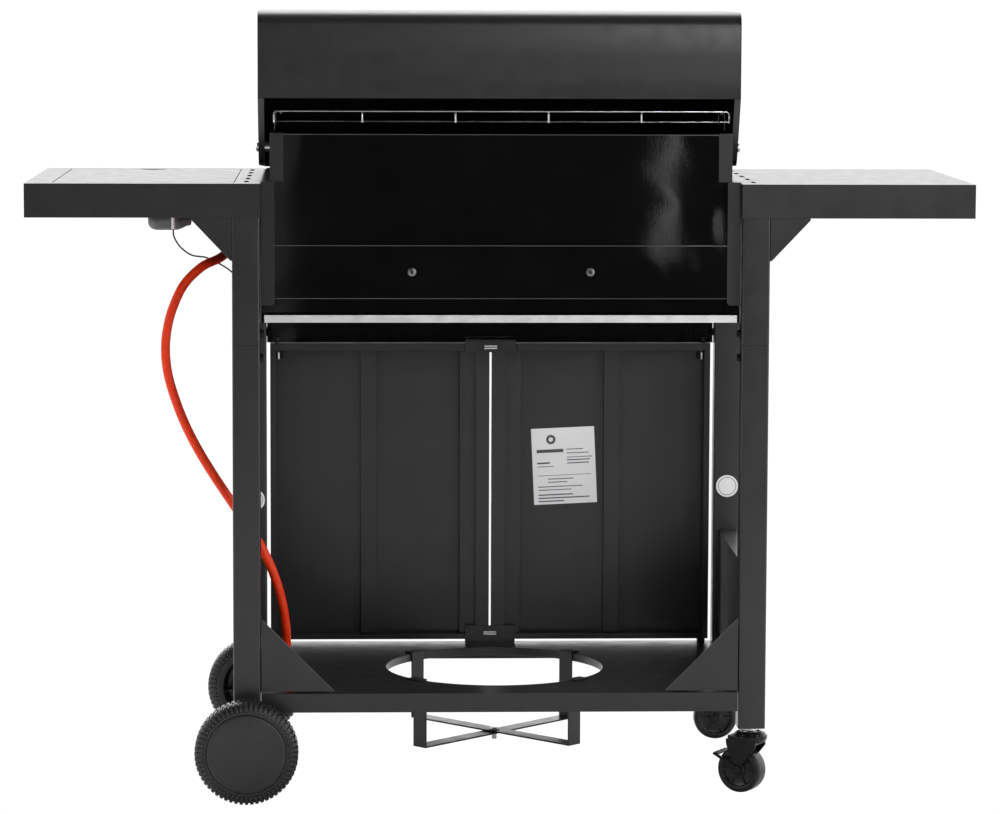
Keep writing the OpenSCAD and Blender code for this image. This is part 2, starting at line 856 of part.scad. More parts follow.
// Bolts, nuts and screw heads, each a separate solid
module fasteners() {
    color(steel) {
        both_sides() rod_y(5, 129, [212, 214.6], 766);
        for (s = [-1, 1]) hinge_bolt(s);
        four_corners() for (h = [seam_z - 19, seam_z + 16])
            rod_x(6, [leg_in - 5, leg_in], leg_y_mid, h);
        rod_z(4, 0, hole_y, [40, 50]);
        rod_z(8, 0, hole_y, [55.1, 58]);
    }
}

// Lid hinge bolt: shank, outer head, and collar against the firebox end
module hinge_bolt(s) {
    outer = s > 0 ? lid_x[1] : -lid_x[0];
    mirror([s > 0 ? 0 : 1, 0, 0]) {
        rod_x(4, [box_end_top - 6, outer + 0.5], hinge[0], hinge[1]);
        rod_x(8, [outer + 0.4, outer + 4], hinge[0], hinge[1]);
        rod_x(8, [box_end_top - 5, box_end_top - 1.2], hinge[0], hinge[1]);
        rod_x(8, [box_end_top, outer - 1.6], hinge[0], hinge[1]);
    }
}

// ---- wheels and casters ----
// Wheel turned about Y: tyre ring, web near the outer face, hub with bore
module road_wheel() {
    r = wheel_d / 2;
    h = wheel_w;
    outline = [[axle_r + run, 0], [15, 0], [15, h - 10], [46, h - 10], [50, 3], [r - 5, 0],
               [r, 5], [r, h - 5], [r - 5, h], [58.5, h], [58.5, h - 3], [axle_r + run, h - 3]];
    rotate([-90, 0, 0]) rotate_extrude() polygon(outline);
}

module wheel_at(side) {
    color([0.16, 0.16, 0.17]) mirror([0, side > 0 ? 0 : 1, 0])
        translate([leg_mid, 291 - wheel_w, axle_z]) {
            road_wheel();
            translate([0, wheel_w - 2.9, 0]) rotate([-90, 0, 0]) difference() {
                cylinder(r = 57.5, h = 4.9);
                translate([0, 0, -1]) cylinder(r = 8, h = 3);
            }
            translate([0, wheel_w - 3.2, 0]) rotate([-90, 0, 0]) difference() {
                cylinder(r = 50, h = 1);
                translate([0, 0, -1]) cylinder(r = 10, h = 3);
            }
        }
}

module wheel_front() {
    wheel_at(-1);
}

module wheel_rear() {
    wheel_at(1);
}

// Places children, drawn about the stem axis with the trail along +X, at a caster
module caster_at(side) {
    translate([-leg_mid, side * leg_y_mid, 0])
        rotate([0, 0, side > 0 ? rear_caster_turn : 0]) children();
}

module caster_stems() {
    color(steel) for (side = [-1, 1]) translate([-leg_mid, side * leg_y_mid, 0]) {
        block([-leg_side / 2 + leg_wall, leg_side / 2 - leg_wall],
              [-leg_side / 2 + leg_wall, leg_side / 2 - leg_wall],
              [caster_leg_z + 1, caster_leg_z + 20]);
        rod_z(5, 0, 0, [80, caster_leg_z + 1]);
        rod_z(11, 0, 0, [92.5, caster_leg_z + 1]);
    }
}

// Swivel head and the two tapered arms down to the axle
module caster_fork() {
    arm = caster_w / 2 + 1.2;
    axle = caster_d / 2;
    color(black) {
        difference() {
            union() {
                rod_z(25, 0, 0, [82, 89]);
                translate([0, 0, 89]) cylinder(r1 = 25, r2 = 17, h = 3);
                rod_z(23, 0, 0, [76, 82]);
                block([0, 31], [-15, 15], [76, 84]);
            }
            rod_z(5 + run, 0, 0, [79, 93]);
        }
        difference() {
            for (s = [-1, 1]) along_y(s > 0 ? [arm, arm + 2.5] : [-arm - 2.5, -arm])
                polygon([[-15, 78], [31, 78], [31, 71], [caster_trail + 6, axle - 6],
                         [caster_trail - 6, axle - 6], [-15, 71]]);
            rod_y(3 + run, caster_trail, [-40, 40], axle);
        }
    }
}

module caster_wheel() {
    r = caster_d / 2;
    h = caster_w;
    outline = [[0, -h / 2 - 6], [3, -h / 2 - 6], [3, -h / 2 - 0.6], [r - 6, -h / 2 - 0.6],
               [r - 6, -h / 2], [r - 3, -h / 2], [r, -h / 2 + 4], [r, h / 2 - 4],
               [r - 3, h / 2], [r - 6, h / 2], [r - 6, h / 2 + 0.6], [3, h / 2 + 0.6],
               [3, h / 2 + 6], [0, h / 2 + 6]];
    color([0.13, 0.13, 0.14]) translate([caster_trail, 0, r])
        rotate([90, 0, 0]) rotate_extrude() polygon(outline);
}

// Foot pedal on two arms that turn about the wheel's axle
module caster_brake() {
    arm = caster_w / 2 + 4.2;
    hub = caster_d / 2;
    reach = caster_trail + 30;
    lift = hub + 20;
    color(black) {
        for (s = [-1, 1]) along_y(s > 0 ? [arm, arm + 2] : [-arm - 2, -arm])
            difference() {
                union() {
                    translate([caster_trail, hub]) circle(6);
                    polygon([[caster_trail - 2, hub + 5], [caster_trail + 4, hub - 3],
                             [reach + 4, lift], [reach + 2, lift + 4]]);
                }
                translate([caster_trail, hub]) circle(3 + run);
            }
        block([reach, reach + 8], [-arm - 2, arm + 2], [lift, lift + 4]);
    }
}

module caster_fork_front() {
    caster_at(-1) caster_fork();
}

module caster_fork_rear() {
    caster_at(1) caster_fork();
}

module caster_wheel_front() {
    caster_at(-1) caster_wheel();
}

module caster_wheel_rear() {
    caster_at(1) caster_wheel();
}

module caster_brake_front() {
    caster_at(-1) caster_brake();
}

module caster_brake_rear() {
    caster_at(1) caster_brake();
}

lower_legs();
upper_legs();
base_panel();
rear_gussets();
side_panels();
front_valance();
door_catches();
control_panel();
firebox_rear();
firebox_front();
firebox_end_right();
firebox_end_left();
firebox_floor();
tray_rails();
bottle_cradle();
wheel_axle();
side_shelf_burner();
side_shelf_plain();
shelf_brackets();
side_burner_pan();
side_burner_head();
side_burner_grate();
side_burner_tube();
burner_tubes();
flame_tamers();
cooking_grates();
warming_rack();
gas_manifold();
gas_hose();
hose_fitting();
igniter_wire();
igniter_electrode();
fasteners();
caster_stems();
lid_shell();
lid_end_plates();
lid_handle();
lid_thermometer();
thermometer_needle();
door_right();
door_left();
door_handle_right();
door_handle_left();
drip_tray();
side_burner_lid();
igniter_button();
knob_1();
knob_2();
knob_3();
knob_4();
knob_side_burner();
wheel_front();
wheel_rear();
caster_fork_front();
caster_fork_rear();
caster_wheel_front();
caster_wheel_rear();
caster_brake_front();
caster_brake_rear();
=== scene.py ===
"""Looks for the gas barbecue grill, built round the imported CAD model.

Shapes are written in millimetres and scaled to metres when a piece is made.
"""
import json
import math

import bmesh
import bpy
from mathutils import Matrix, Vector


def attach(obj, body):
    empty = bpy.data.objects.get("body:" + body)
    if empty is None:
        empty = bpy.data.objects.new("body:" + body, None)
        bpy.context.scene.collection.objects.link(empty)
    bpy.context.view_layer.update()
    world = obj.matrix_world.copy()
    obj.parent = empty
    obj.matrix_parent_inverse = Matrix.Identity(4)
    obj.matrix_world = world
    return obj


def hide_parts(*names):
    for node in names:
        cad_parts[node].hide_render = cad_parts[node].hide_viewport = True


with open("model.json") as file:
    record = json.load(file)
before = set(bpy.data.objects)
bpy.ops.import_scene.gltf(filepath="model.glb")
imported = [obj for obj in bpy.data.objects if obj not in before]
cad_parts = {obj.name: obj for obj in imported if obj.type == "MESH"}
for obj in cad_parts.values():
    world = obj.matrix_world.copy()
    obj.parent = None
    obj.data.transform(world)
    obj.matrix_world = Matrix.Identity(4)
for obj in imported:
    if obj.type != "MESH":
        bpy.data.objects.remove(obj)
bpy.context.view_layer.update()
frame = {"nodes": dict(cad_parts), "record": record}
nodes = frame["nodes"]
MM = 0.001

# ---------------------------------------------------------------- camera
CAMERA_AT = Vector((0.2147, 5.8304, 1.1878))
YAW, PITCH, ROLL = (math.radians(a) for a in (-2.177, 6.27, 0.207))

forward = Vector((math.sin(YAW) * math.cos(PITCH), -math.cos(YAW) * math.cos(PITCH),
                  -math.sin(PITCH)))
level = Vector((-math.cos(YAW), -math.sin(YAW), 0.0))
upright = level.cross(forward)
cam_x = math.cos(ROLL) * level + math.sin(ROLL) * upright
cam_y = -math.sin(ROLL) * level + math.cos(ROLL) * upright
camera_data = bpy.data.cameras.new("camera")
camera_data.lens = 140.48
camera_data.sensor_width = 36.0
camera_data.clip_end = 400.0
camera = bpy.data.objects.new("camera", camera_data)
bpy.context.scene.collection.objects.link(camera)
camera.matrix_world = Matrix.Translation(CAMERA_AT) @ Matrix(
    (cam_x, cam_y, -forward)).transposed().to_4x4()
bpy.context.scene.camera = camera

# ---------------------------------------------------------------- cords
HOSE_ROUTE = [
    (398, -212, 800), (398, -160, 800), (398, -90, 800), (398, -20, 798),
    (398, 35, 793), (400, 80, 785), (411, 116, 778), (434, 138, 768),
    (459, 151, 744), (475, 157, 712), (484, 158, 680), (487, 157, 646),
    (483, 156, 610), (472, 155, 572),
    (458, 153, 536), (440, 151, 500), (418, 149, 463), (394, 147, 426),
    (371, 144, 391), (349, 140, 356), (330, 135, 312), (318, 129, 268),
    (313, 120, 226), (313, 101, 190), (313, 70, 170), (313, 40, 164.5),
    (313, 22, 164.5),
]
WIRE_ROUTE = [
    (479, 60, 817.3), (478.5, 60, 808), (473, 60, 797), (464, 60, 787),
    (451, 60, 779), (431, 60, 776), (414, 58, 768), (400, 50, 759),
    (394, 30, 752), (393, -10, 748), (393, -60, 747), (393, -120, 748),
    (393, -170, 752), (394, -205, 760), (397, -228, 770), (397, -239, 776),
    (393, -241, 779), (388.2, -241, 780),
]
HOSE_D, WIRE_D = 13.5, 2.5


def smooth_route(route, steps):
    """Points in metres on a smooth curve through a route in millimetres."""
    p = [Vector(q) * MM for q in route]
    out = []
    for i in range(len(p) - 1):
        a, b, c, d = p[max(i - 1, 0)], p[i], p[i + 1], p[min(i + 2, len(p) - 1)]
        for k in range(steps):
            t = k / steps
            out.append(0.5 * (2 * b + (c - a) * t + (2 * a - 5 * b + 4 * c - d) * t * t
                              + (3 * b - a - 3 * c + d) * t ** 3))
    return out + [p[-1]]


def wire_curve(name, paths, radius, cyclic=False, caps=True, sides=6):
    """One curve object of round wire; each path is a list of points in metres."""
    data = bpy.data.curves.new(name, "CURVE")
    data.dimensions = "3D"
    data.bevel_depth = radius
    data.bevel_resolution = sides
    data.use_fill_caps = caps
    for path in paths:
        spline = data.splines.new("POLY")
        spline.points.add(len(path) - 1)
        for point, co in zip(spline.points, path):
            point.co = (*co, 1.0)
        spline.use_cyclic_u = cyclic
        spline.use_smooth = True
    obj = bpy.data.objects.new(name, data)
    bpy.context.scene.collection.objects.link(obj)
    return obj


hose_path = smooth_route(HOSE_ROUTE, 6)
wire_path = smooth_route(WIRE_ROUTE, 6)
hose = wire_curve("gas_hose_tube", [hose_path], HOSE_D / 2 * MM, sides=8)
igniter = wire_curve("igniter_wire_lead", [wire_path], WIRE_D / 2 * MM, sides=3)


# ---------------------------------------------------------------- materials
class Nodes:
    """A material's node tree with short calls for what every finish uses."""

    def __init__(self, name, **sockets):
        self.mat = bpy.data.materials.new(name)
        self.mat.use_nodes = True
        self.tree = self.mat.node_tree
        self.shader = self.tree.nodes["Principled BSDF"]
        for key, value in sockets.items():
            self.shader.inputs[key.replace("_", " ")].default_value = value
        self.where = self.tree.nodes.new("ShaderNodeTexCoord").outputs["Object"]

    def link(self, a, b):
        self.tree.links.new(a, b)

    def stretched(self, scale):
        node = self.tree.nodes.new("ShaderNodeMapping")
        node.inputs["Scale"].default_value = scale
        self.link(self.where, node.inputs["Vector"])
        return node.outputs["Vector"]

    def noise(self, scale, detail=2.0, rough=0.5, distort=0.0, at=None):
        node = self.tree.nodes.new("ShaderNodeTexNoise")
        node.inputs["Scale"].default_value = scale
        node.inputs["Detail"].default_value = detail
        node.inputs["Roughness"].default_value = rough
        node.inputs["Distortion"].default_value = distort
        self.link(at or self.where, node.inputs["Vector"])
        return node.outputs["Fac"]

    def cells(self, scale, feature="F1", at=None):
        node = self.tree.nodes.new("ShaderNodeTexVoronoi")
        node.feature = feature
        node.inputs["Scale"].default_value = scale
        self.link(at or self.where, node.inputs["Vector"])
        return node.outputs

    def ramp(self, fac, stops):
        node = self.tree.nodes.new("ShaderNodeValToRGB")
        ramp = node.color_ramp
        while len(ramp.elements) < len(stops):
            ramp.elements.new(0.5)
        for element, (at, colour) in zip(ramp.elements, stops):
            element.position = at
            element.color = (*colour, 1.0)
        self.link(fac, node.inputs["Fac"])
        return node.outputs["Color"]

    def spread(self, fac, low, high, from_low=0.3, from_high=0.7):
        node = self.tree.nodes.new("ShaderNodeMapRange")
        for key, value in (("From Min", from_low), ("From Max", from_high),
                           ("To Min", low), ("To Max", high)):
            node.inputs[key].default_value = value
        self.link(fac, node.inputs["Value"])
        return node.outputs["Result"]

    def bump(self, height, strength, distance, under=None):
        node = self.tree.nodes.new("ShaderNodeBump")
        node.inputs["Strength"].default_value = strength
        node.inputs["Distance"].default_value = distance
        self.link(height, node.inputs["Height"])
        if under is not None:
            self.link(under, node.inputs["Normal"])
        return node.outputs["Normal"]

    def finish(self, colour=None, rough=None, normal=None):
        for socket, key in ((colour, "Base Color"), (rough, "Roughness"),
                            (normal, "Normal")):
            if socket is not None:
                self.link(socket, self.shader.inputs[key])
        return self.mat


def powder_coat(name, dark, light, rough):
    """Semi-matt powder coat: fine orange peel and faint cloudiness."""
    n = Nodes(name, Specular_IOR_Level=0.5)
    cloud = n.noise(9.0, 5.0, 0.6)
    speck = n.noise(700.0, 1.0)
    colour = n.ramp(cloud, [(0.3, dark), (0.7, light)])
    gloss = n.spread(n.noise(38.0, 1.0, 0.5), rough - 0.03, rough + 0.03)
    wave = n.bump(n.noise(4.5, 0.0), 0.25, 0.0015)
    peel = n.bump(speck, 0.06, 0.0002, wave)
    return n.finish(colour, gloss, peel)


def enamel():
    """Glossy enamel on thin sheet, so that its reflections wander."""
    n = Nodes("black_enamel", Specular_IOR_Level=0.5, Coat_Weight=0.3,
              Coat_Roughness=0.04)
    colour = n.ramp(n.noise(14.0, 4.0), [(0.3, (0.0022, 0.0022, 0.0024)),
                                         (0.75, (0.0042, 0.0042, 0.0045))])
    gloss = n.spread(n.noise(30.0, 5.0, 0.7), 0.03, 0.05)
    wave = n.bump(n.noise(5.0, 1.5, 0.5, 0.8), 0.5, 0.004)
    peel = n.bump(n.noise(420.0, 2.0), 0.05, 0.0004, wave)
    return n.finish(colour, gloss, peel)


def galvanised():
    n = Nodes("galvanised", Metallic=1.0)
    spangle = n.cells(160.0)
    colour = n.ramp(spangle["Color"], [(0.1, (0.88, 0.89, 0.90)), (0.9, (0.94, 0.94, 0.95))])
    gloss = n.spread(n.noise(60.0, 4.0, 0.6), 0.3, 0.46)
    grain = n.bump(n.noise(900.0, 2.0), 0.06, 0.0002)
    return n.finish(colour, gloss, grain)


def chrome():
    n = Nodes("chrome", Metallic=1.0)
    colour = n.ramp(n.noise(70.0, 4.0), [(0.3, (0.62, 0.62, 0.63)), (0.7, (0.86, 0.86, 0.87))])
    gloss = n.spread(n.noise(120.0, 3.0, 0.6), 0.08, 0.22)
    marks = n.bump(n.noise(300.0, 2.0), 0.04, 0.0003)
    return n.finish(colour, gloss, marks)


def cast_iron():
    n = Nodes("cast_iron", Specular_IOR_Level=0.4)
    colour = n.ramp(n.noise(45.0, 5.0, 0.65), [(0.3, (0.010, 0.010, 0.010)),
                                               (0.75, (0.028, 0.027, 0.026))])
    gloss = n.spread(n.noise(90.0, 3.0), 0.5, 0.7)
    pits = n.bump(n.noise(520.0, 4.0, 0.7), 0.35, 0.0005)
    return n.finish(colour, gloss, pits)


def brushed(name, dark, light, low, high, scale):
    """Metal brushed along the direction in which scale is small."""
    n = Nodes(name, Metallic=1.0, Anisotropic=0.5)
    lines = n.noise(1.0, 3.0, 0.6, at=n.stretched(scale))
    colour = n.ramp(lines, [(0.25, dark), (0.75, light)])
    smear = n.noise(16.0, 4.0, 0.6)
    gloss = n.spread(smear, low, high)
    return n.finish(colour, gloss, n.bump(lines, 0.08, 0.0002))


def cast_aluminium():
    n = Nodes("cast_aluminium", Metallic=0.85)
    colour = n.ramp(n.noise(60.0, 5.0, 0.7), [(0.3, (0.08, 0.08, 0.08)),
                                              (0.7, (0.20, 0.20, 0.21))])
    gloss = n.spread(n.noise(120.0, 4.0), 0.42, 0.62)
    return n.finish(colour, gloss, n.bump(n.noise(700.0, 4.0, 0.7), 0.3, 0.0004))


def zinc():
    n = Nodes("zinc", Metallic=1.0)
    colour = n.ramp(n.noise(220.0, 4.0), [(0.3, (0.55, 0.57, 0.60)), (0.7, (0.80, 0.81, 0.82))])
    gloss = n.spread(n.noise(160.0, 3.0), 0.22, 0.38)
    return n.finish(colour, gloss, n.bump(n.noise(900.0, 2.0), 0.08, 0.0002))


def hose_rubber():
    n = Nodes("red_hose", Specular_IOR_Level=0.28)
    colour = n.ramp(n.noise(55.0, 4.0), [(0.3, (0.88, 0.036, 0.003)),
                                         (0.7, (0.97, 0.052, 0.004))])
    gloss = n.spread(n.noise(140.0, 3.0), 0.30, 0.42)
    wave = n.bump(n.noise(420.0, 3.0), 0.10, 0.0004)
    return n.finish(colour, gloss, wave)


def brass():
    n = Nodes("brass", Metallic=1.0)
    rings = n.noise(1.0, 2.0, at=n.stretched((60.0, 2600.0, 60.0)))
    colour = n.ramp(n.noise(80.0, 4.0), [(0.3, (0.56, 0.37, 0.14)), (0.7, (0.78, 0.58, 0.28))])
    gloss = n.spread(n.noise(90.0, 3.0), 0.2, 0.36)
    return n.finish(colour, gloss, n.bump(rings, 0.1, 0.0002))


def wire_jacket():
    n = Nodes("black_wire", Specular_IOR_Level=0.5)
    colour = n.ramp(n.noise(120.0, 3.0), [(0.3, (0.006, 0.006, 0.006)),
                                          (0.7, (0.014, 0.014, 0.015))])
    gloss = n.spread(n.noise(200.0, 2.0), 0.3, 0.45)
    return n.finish(colour, gloss, n.bump(n.noise(1200.0, 2.0), 0.1, 0.0002))


def ceramic():
    n = Nodes("ceramic", Specular_IOR_Level=0.6, Coat_Weight=0.6, Coat_Roughness=0.06)
    colour = n.ramp(n.noise(160.0, 3.0), [(0.3, (0.80, 0.79, 0.76)), (0.7, (0.90, 0.90, 0.88))])
    gloss = n.spread(n.noise(90.0, 2.0), 0.15, 0.28)
    return n.finish(colour, gloss, n.bump(n.noise(600.0, 2.0), 0.05, 0.0002))


def moulded(name, dark, light, low, high, grain, depth=0.16, sheen=0.5):
    """Moulded plastic with a fine spark-eroded grain."""
    n = Nodes(name, Specular_IOR_Level=sheen)
    colour = n.ramp(n.noise(26.0, 5.0, 0.6), [(0.3, dark), (0.7, light)])
    gloss = n.spread(n.noise(60.0, 4.0, 0.6), low, high)
    return n.finish(colour, gloss, n.bump(n.noise(grain, 3.0, 0.6), depth, 0.0003))


def paper(name, dark, light):
    """Matt sticker paper with a slight sheen and cockle."""
    n = Nodes(name, Specular_IOR_Level=0.35)
    colour = n.ramp(n.noise(400.0, 4.0, 0.7), [(0.3, dark), (0.7, light)])
    gloss = n.spread(n.noise(60.0, 3.0), 0.45, 0.6)
    fibre = n.bump(n.noise(1600.0, 3.0), 0.05, 0.0001)
    return n.finish(colour, gloss, n.bump(n.noise(30.0, 2.0), 0.15, 0.0004, fibre))


def dial_glass():
    n = Nodes("dial_glass", Transmission_Weight=1.0, IOR=1.45)
    gloss = n.spread(n.noise(60.0, 3.0), 0.02, 0.06)
    return n.finish(rough=gloss, normal=n.bump(n.noise(40.0, 2.0), 0.03, 0.0002))




def greys(dark, light):
    """Two greys with a trace of blue."""
    return (dark, dark, dark * 1.04), (light, light, light * 1.04)


FINISH = {
    "black_paint": powder_coat("black_paint", *greys(0.0190, 0.0240), 0.32),
    "black_enamel": enamel(),
    "galvanised": galvanised(),
    "chrome": chrome(),
    "cast_iron": cast_iron(),
    "stainless": brushed("stainless", (0.50, 0.50, 0.51), (0.68, 0.68, 0.69), 0.2, 0.34,
                         (8.0, 900.0, 900.0)),
    "cast_aluminium": cast_aluminium(),
    "zinc": zinc(),
    "red_hose": hose_rubber(),
    "brass": brass(),
    "black_wire": wire_jacket(),
    "ceramic": ceramic(),
    "needle_red": moulded("needle_red", (0.55, 0.02, 0.01), (0.7, 0.04, 0.02), 0.25, 0.4, 900.0),
    "knob_plastic": moulded("knob_plastic", *greys(0.013, 0.02), 0.28, 0.42, 1100.0),
    "wheel_plastic": moulded("wheel_plastic", *greys(0.020, 0.030), 0.30, 0.44, 900.0),
    "fork_plastic": moulded("fork_plastic", *greys(0.004, 0.008), 0.2, 0.32, 800.0, 0.1, 0.28),
}
DISC = moulded("hub_disc_plastic", *greys(0.020, 0.030), 0.34, 0.46, 1200.0, 0.12)
TYRE = moulded("caster_tyre_rubber", *greys(0.008, 0.014), 0.24, 0.38, 700.0, 0.12, 0.38)
# A lighter grey powder coat, used only as a painted highlight on edges.
PAINTED_EDGE_HIGHLIGHT = powder_coat("painted_edge_highlight", *greys(0.085, 0.12), 0.3)
DULL_ZINC = brushed("dull_zinc", (0.10, 0.10, 0.105), (0.34, 0.34, 0.35), 0.3, 0.45,
                    (700.0, 500.0, 900.0))
PAPER = paper("sticker_paper", (0.91, 0.91, 0.92), (0.95, 0.95, 0.95))
PRINT = paper("sticker_print", (0.06, 0.06, 0.065), (0.12, 0.12, 0.125))
WHITE_MARK = paper("white_mark", (0.72, 0.72, 0.72), (0.85, 0.85, 0.85))
DIAL = paper("dial_face", (0.70, 0.70, 0.69), (0.82, 0.82, 0.81))
GLASS = dial_glass()


# ---------------------------------------------------------------- shapes
AXES = {"X": lambda a, b, h: (h, a, b), "Y": lambda a, b, h: (a, h, b),
        "Z": lambda a, b, h: (a, b, h)}


class Shape:
    """Collects faces in millimetres and then becomes one piece."""

    def __init__(self):
        self.bm = bmesh.new()
        self.paint = 0

    def face(self, corners):
        """One face; a face that is there already is left out."""
        try:
            made = self.bm.faces.new(corners)
        except ValueError:
            return
        made.material_index = self.paint

    def verts(self, points, place):
        place = place or Matrix.Identity(4)
        return [self.bm.verts.new(place @ Vector(p)) for p in points]

    def prism(self, outline, axis, span, place=None):
        """An outline in the plane square to axis, between two heights."""
        put = AXES[axis]
        low = self.verts([put(a, b, span[0]) for a, b in outline], place)
        high = self.verts([put(a, b, span[1]) for a, b in outline], place)
        self.face(low[::-1])
        self.face(high)
        n = len(outline)
        for i in range(n):
            self.face([low[i], low[(i + 1) % n], high[(i + 1) % n], high[i]])
        return self

    def ring(self, outer, inner, axis, span, place=None):
        """A prism with a hole; both outlines have the same number of points."""
        put = AXES[axis]
        n = len(outer)
        sets = [self.verts([put(a, b, h) for a, b in line], place)
                for line in (outer, inner) for h in span]
        out_low, out_high, in_low, in_high = sets
        for i in range(n):
            j = (i + 1) % n
            self.face([out_low[i], out_low[j], out_high[j], out_high[i]])
            self.face([in_low[j], in_low[i], in_high[i], in_high[j]])
            self.face([out_low[j], out_low[i], in_low[i], in_low[j]])
            self.face([out_high[i], out_high[j], in_high[j], in_high[i]])
        return self

    def block(self, x, y, z, place=None):
        return self.prism([(x[0], y[0]), (x[1], y[0]), (x[1], y[1]), (x[0], y[1])],
                          "Z", z, place)

    def lathe(self, profile, axis="Z", at=(0, 0, 0), steps=48, closed=False, place=None):
        """Turns (radius, height) points about an axis through a point."""
        put = AXES[axis]
        place = (place or Matrix.Identity(4)) @ Matrix.Translation(Vector(at))
        rings = []
        for r, h in profile:
            if r < 1e-6:
                rings.append(self.verts([put(0, 0, h)], place))
            else:
                angles = [2 * math.pi * k / steps for k in range(steps)]
                rings.append(self.verts(
                    [put(r * math.cos(a), r * math.sin(a), h) for a in angles], place))
        pairs = list(zip(rings, rings[1:])) + ([(rings[-1], rings[0])] if closed else [])
        for a, b in pairs:
            if len(a) == len(b) == 1:
                continue
            for k in range(steps):
                j = (k + 1) % steps
                if len(a) == 1:
                    self.face([a[0], b[k], b[j]])
                elif len(b) == 1:
                    self.face([a[j], a[k], b[0]])
                else:
                    self.face([a[k], b[k], b[j], a[j]])
        return self

    def piece(self, name, body, slot, materials=None, replaces=(), bevel=0.0, segments=2,
              sharp=32.0):
        bmesh.ops.recalc_face_normals(self.bm, faces=self.bm.faces)
        bmesh.ops.scale(self.bm, vec=(MM, MM, MM), verts=self.bm.verts)
        mesh = bpy.data.meshes.new(name)
        self.bm.to_mesh(mesh)
        self.bm.free()
        mesh.shade_smooth()
        obj = bpy.data.objects.new(name, mesh)
        bpy.context.scene.collection.objects.link(obj)
        for mat in materials or [FINISH[slot]]:
            mesh.materials.append(mat)
        if bevel:
            add_bevel(obj, bevel, segments)
        else:
            mesh.set_sharp_from_angle(angle=math.radians(sharp))
        return settle(obj, body, replaces)


def add_bevel(obj, width, segments=2, angle=32.0):
    mod = obj.modifiers.new("edge", "BEVEL")
    mod.width = width * MM
    mod.segments = segments
    mod.limit_method = "ANGLE"
    mod.angle_limit = math.radians(angle)
    mod.harden_normals = True
    mod.use_clamp_overlap = True


def settle(obj, body, replaces=()):
    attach(obj, body)
    if replaces:
        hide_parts(*replaces)
    return obj


def arc(centre, r, start, end, n):
    """Points on an arc, angles in degrees."""
    return [(centre[0] + r * math.cos(math.radians(start + (end - start) * i / n)),
             centre[1] + r * math.sin(math.radians(start + (end - start) * i / n)))
            for i in range(n + 1)]


def rounded(x, y, r, n=5):
    """A rectangle with round corners."""
    r = max(r, 0.01)
    return (arc((x[1] - r, y[1] - r), r, 0, 90, n) + arc((x[0] + r, y[1] - r), r, 90, 180, n)
            + arc((x[0] + r, y[0] + r), r, 180, 270, n)
            + arc((x[1] - r, y[0] + r), r, 270, 360, n))


def turned(at, degrees, axis="Z"):
    return (Matrix.Translation(Vector(at)) @ Matrix.Rotation(math.radians(degrees), 4, axis))


# ---------------------------------------------------------------- CAD nodes kept as they are
def keep(node, slot, width=0.5, segments=2):
    """A CAD node keeps its shape and gets soft edges and its finish."""
    obj = nodes[node]
    mesh = obj.data
    custom = mesh.attributes.get("custom_normal")
    if custom:
        mesh.attributes.remove(custom)
    mesh.shade_smooth()
    mesh.materials.clear()
    mesh.materials.append(FINISH[LOOKS.get(node, slot)])
    weld = obj.modifiers.new("weld", "WELD")
    weld.merge_threshold = 0.00002
    flat = obj.modifiers.new("flat", "DECIMATE")
    flat.decimate_type = "DISSOLVE"
    flat.angle_limit = math.radians(0.6)
    add_bevel(obj, width, segments)


SLOTS = {row["node"]: row["material_slot"] for row in frame["record"]["subparts"]}
# front_valance takes the darker black enamel as painted shade for the shadow under the tray; the
# firebox ends take the black powder coat in place of their own slot.
LOOKS = {"front_valance": "black_enamel", "firebox_end_right": "black_paint",
         "firebox_end_left": "black_paint"}
EDGE = {"base_panel": 0.5, "cooking_grates": 1.0, "side_burner_grate": 0.8,
        "burner_tubes": 0.3, "firebox_rear": 0.7, "bottle_cradle": 0.6}

# ---------------------------------------------------------------- legs
LEG, LEG_Y = 368, 208
LEG_INNER = LEG - 20
CASTER_LEG_FOOT, WHEEL_LEG_FOOT = 98, 56
LEG_JOINT, LEG_TOP = 661, 855


def tube_outline(half, r):
    return rounded((-half, half), (-half, half), r, 6)


for level_name, spans in (
        ("lower", {-1: (CASTER_LEG_FOOT, LEG_JOINT - 0.3), 1: (WHEEL_LEG_FOOT, LEG_JOINT - 0.3)}),
        ("upper", {-1: (LEG_JOINT, LEG_TOP), 1: (LEG_JOINT, LEG_TOP)})):
    legs = Shape()
    for side, z in spans.items():
        for rear in (-1, 1):
            at = Matrix.Translation(Vector((side * LEG, rear * LEG_Y, 0)))
            legs.ring(tube_outline(20, 3.2), tube_outline(18.4, 1.8), "Z", z, at)
            if level_name == "upper":
                legs.ring(tube_outline(18.1, 1.6), tube_outline(16.1, 0.8), "Z",
                          (LEG_JOINT - 60, LEG_JOINT + 0.5), at)
    legs.piece(f"{level_name}_leg_tubes", "cart", "black_paint", replaces=[f"{level_name}_legs"],
               bevel=0.35)

plugs = Shape()
for rear in (-1, 1):
    at = Matrix.Translation(Vector((LEG, rear * LEG_Y, 0)))
    plugs.prism(tube_outline(19.4, 3), "Z", (WHEEL_LEG_FOOT - 1.6, WHEEL_LEG_FOOT), at)
    plugs.prism(tube_outline(18.2, 1.7), "Z", (WHEEL_LEG_FOOT, WHEEL_LEG_FOOT + 8), at)
plugs.piece("leg_end_plugs", "cart", "fork_plastic", bevel=0.8)

# ---------------------------------------------------------------- lid
LID_X = (-344.5, 350.5)
SKIN = 1.2


def lid_outline(t):
    """The lid's section (y, z), from the skirt over the top to the front edge."""
    low = [(215 - 1.2 * ((1046 - z) / 30) ** 2 - t, z) for z in range(1016, 1046, 5)]
    bow = [(215 - 2.2 * ((z - 1076) / 44) ** 2 - t, z) for z in range(1076, 1120, 4)]
    return (low + [(215 - t, 1046)] + bow + arc((192.8, 1120), 20 - t, 5, 90, 10)
            + arc((-95, 1020), 120 - t, 90, 180, 30) + [(-225 + t, 897)])


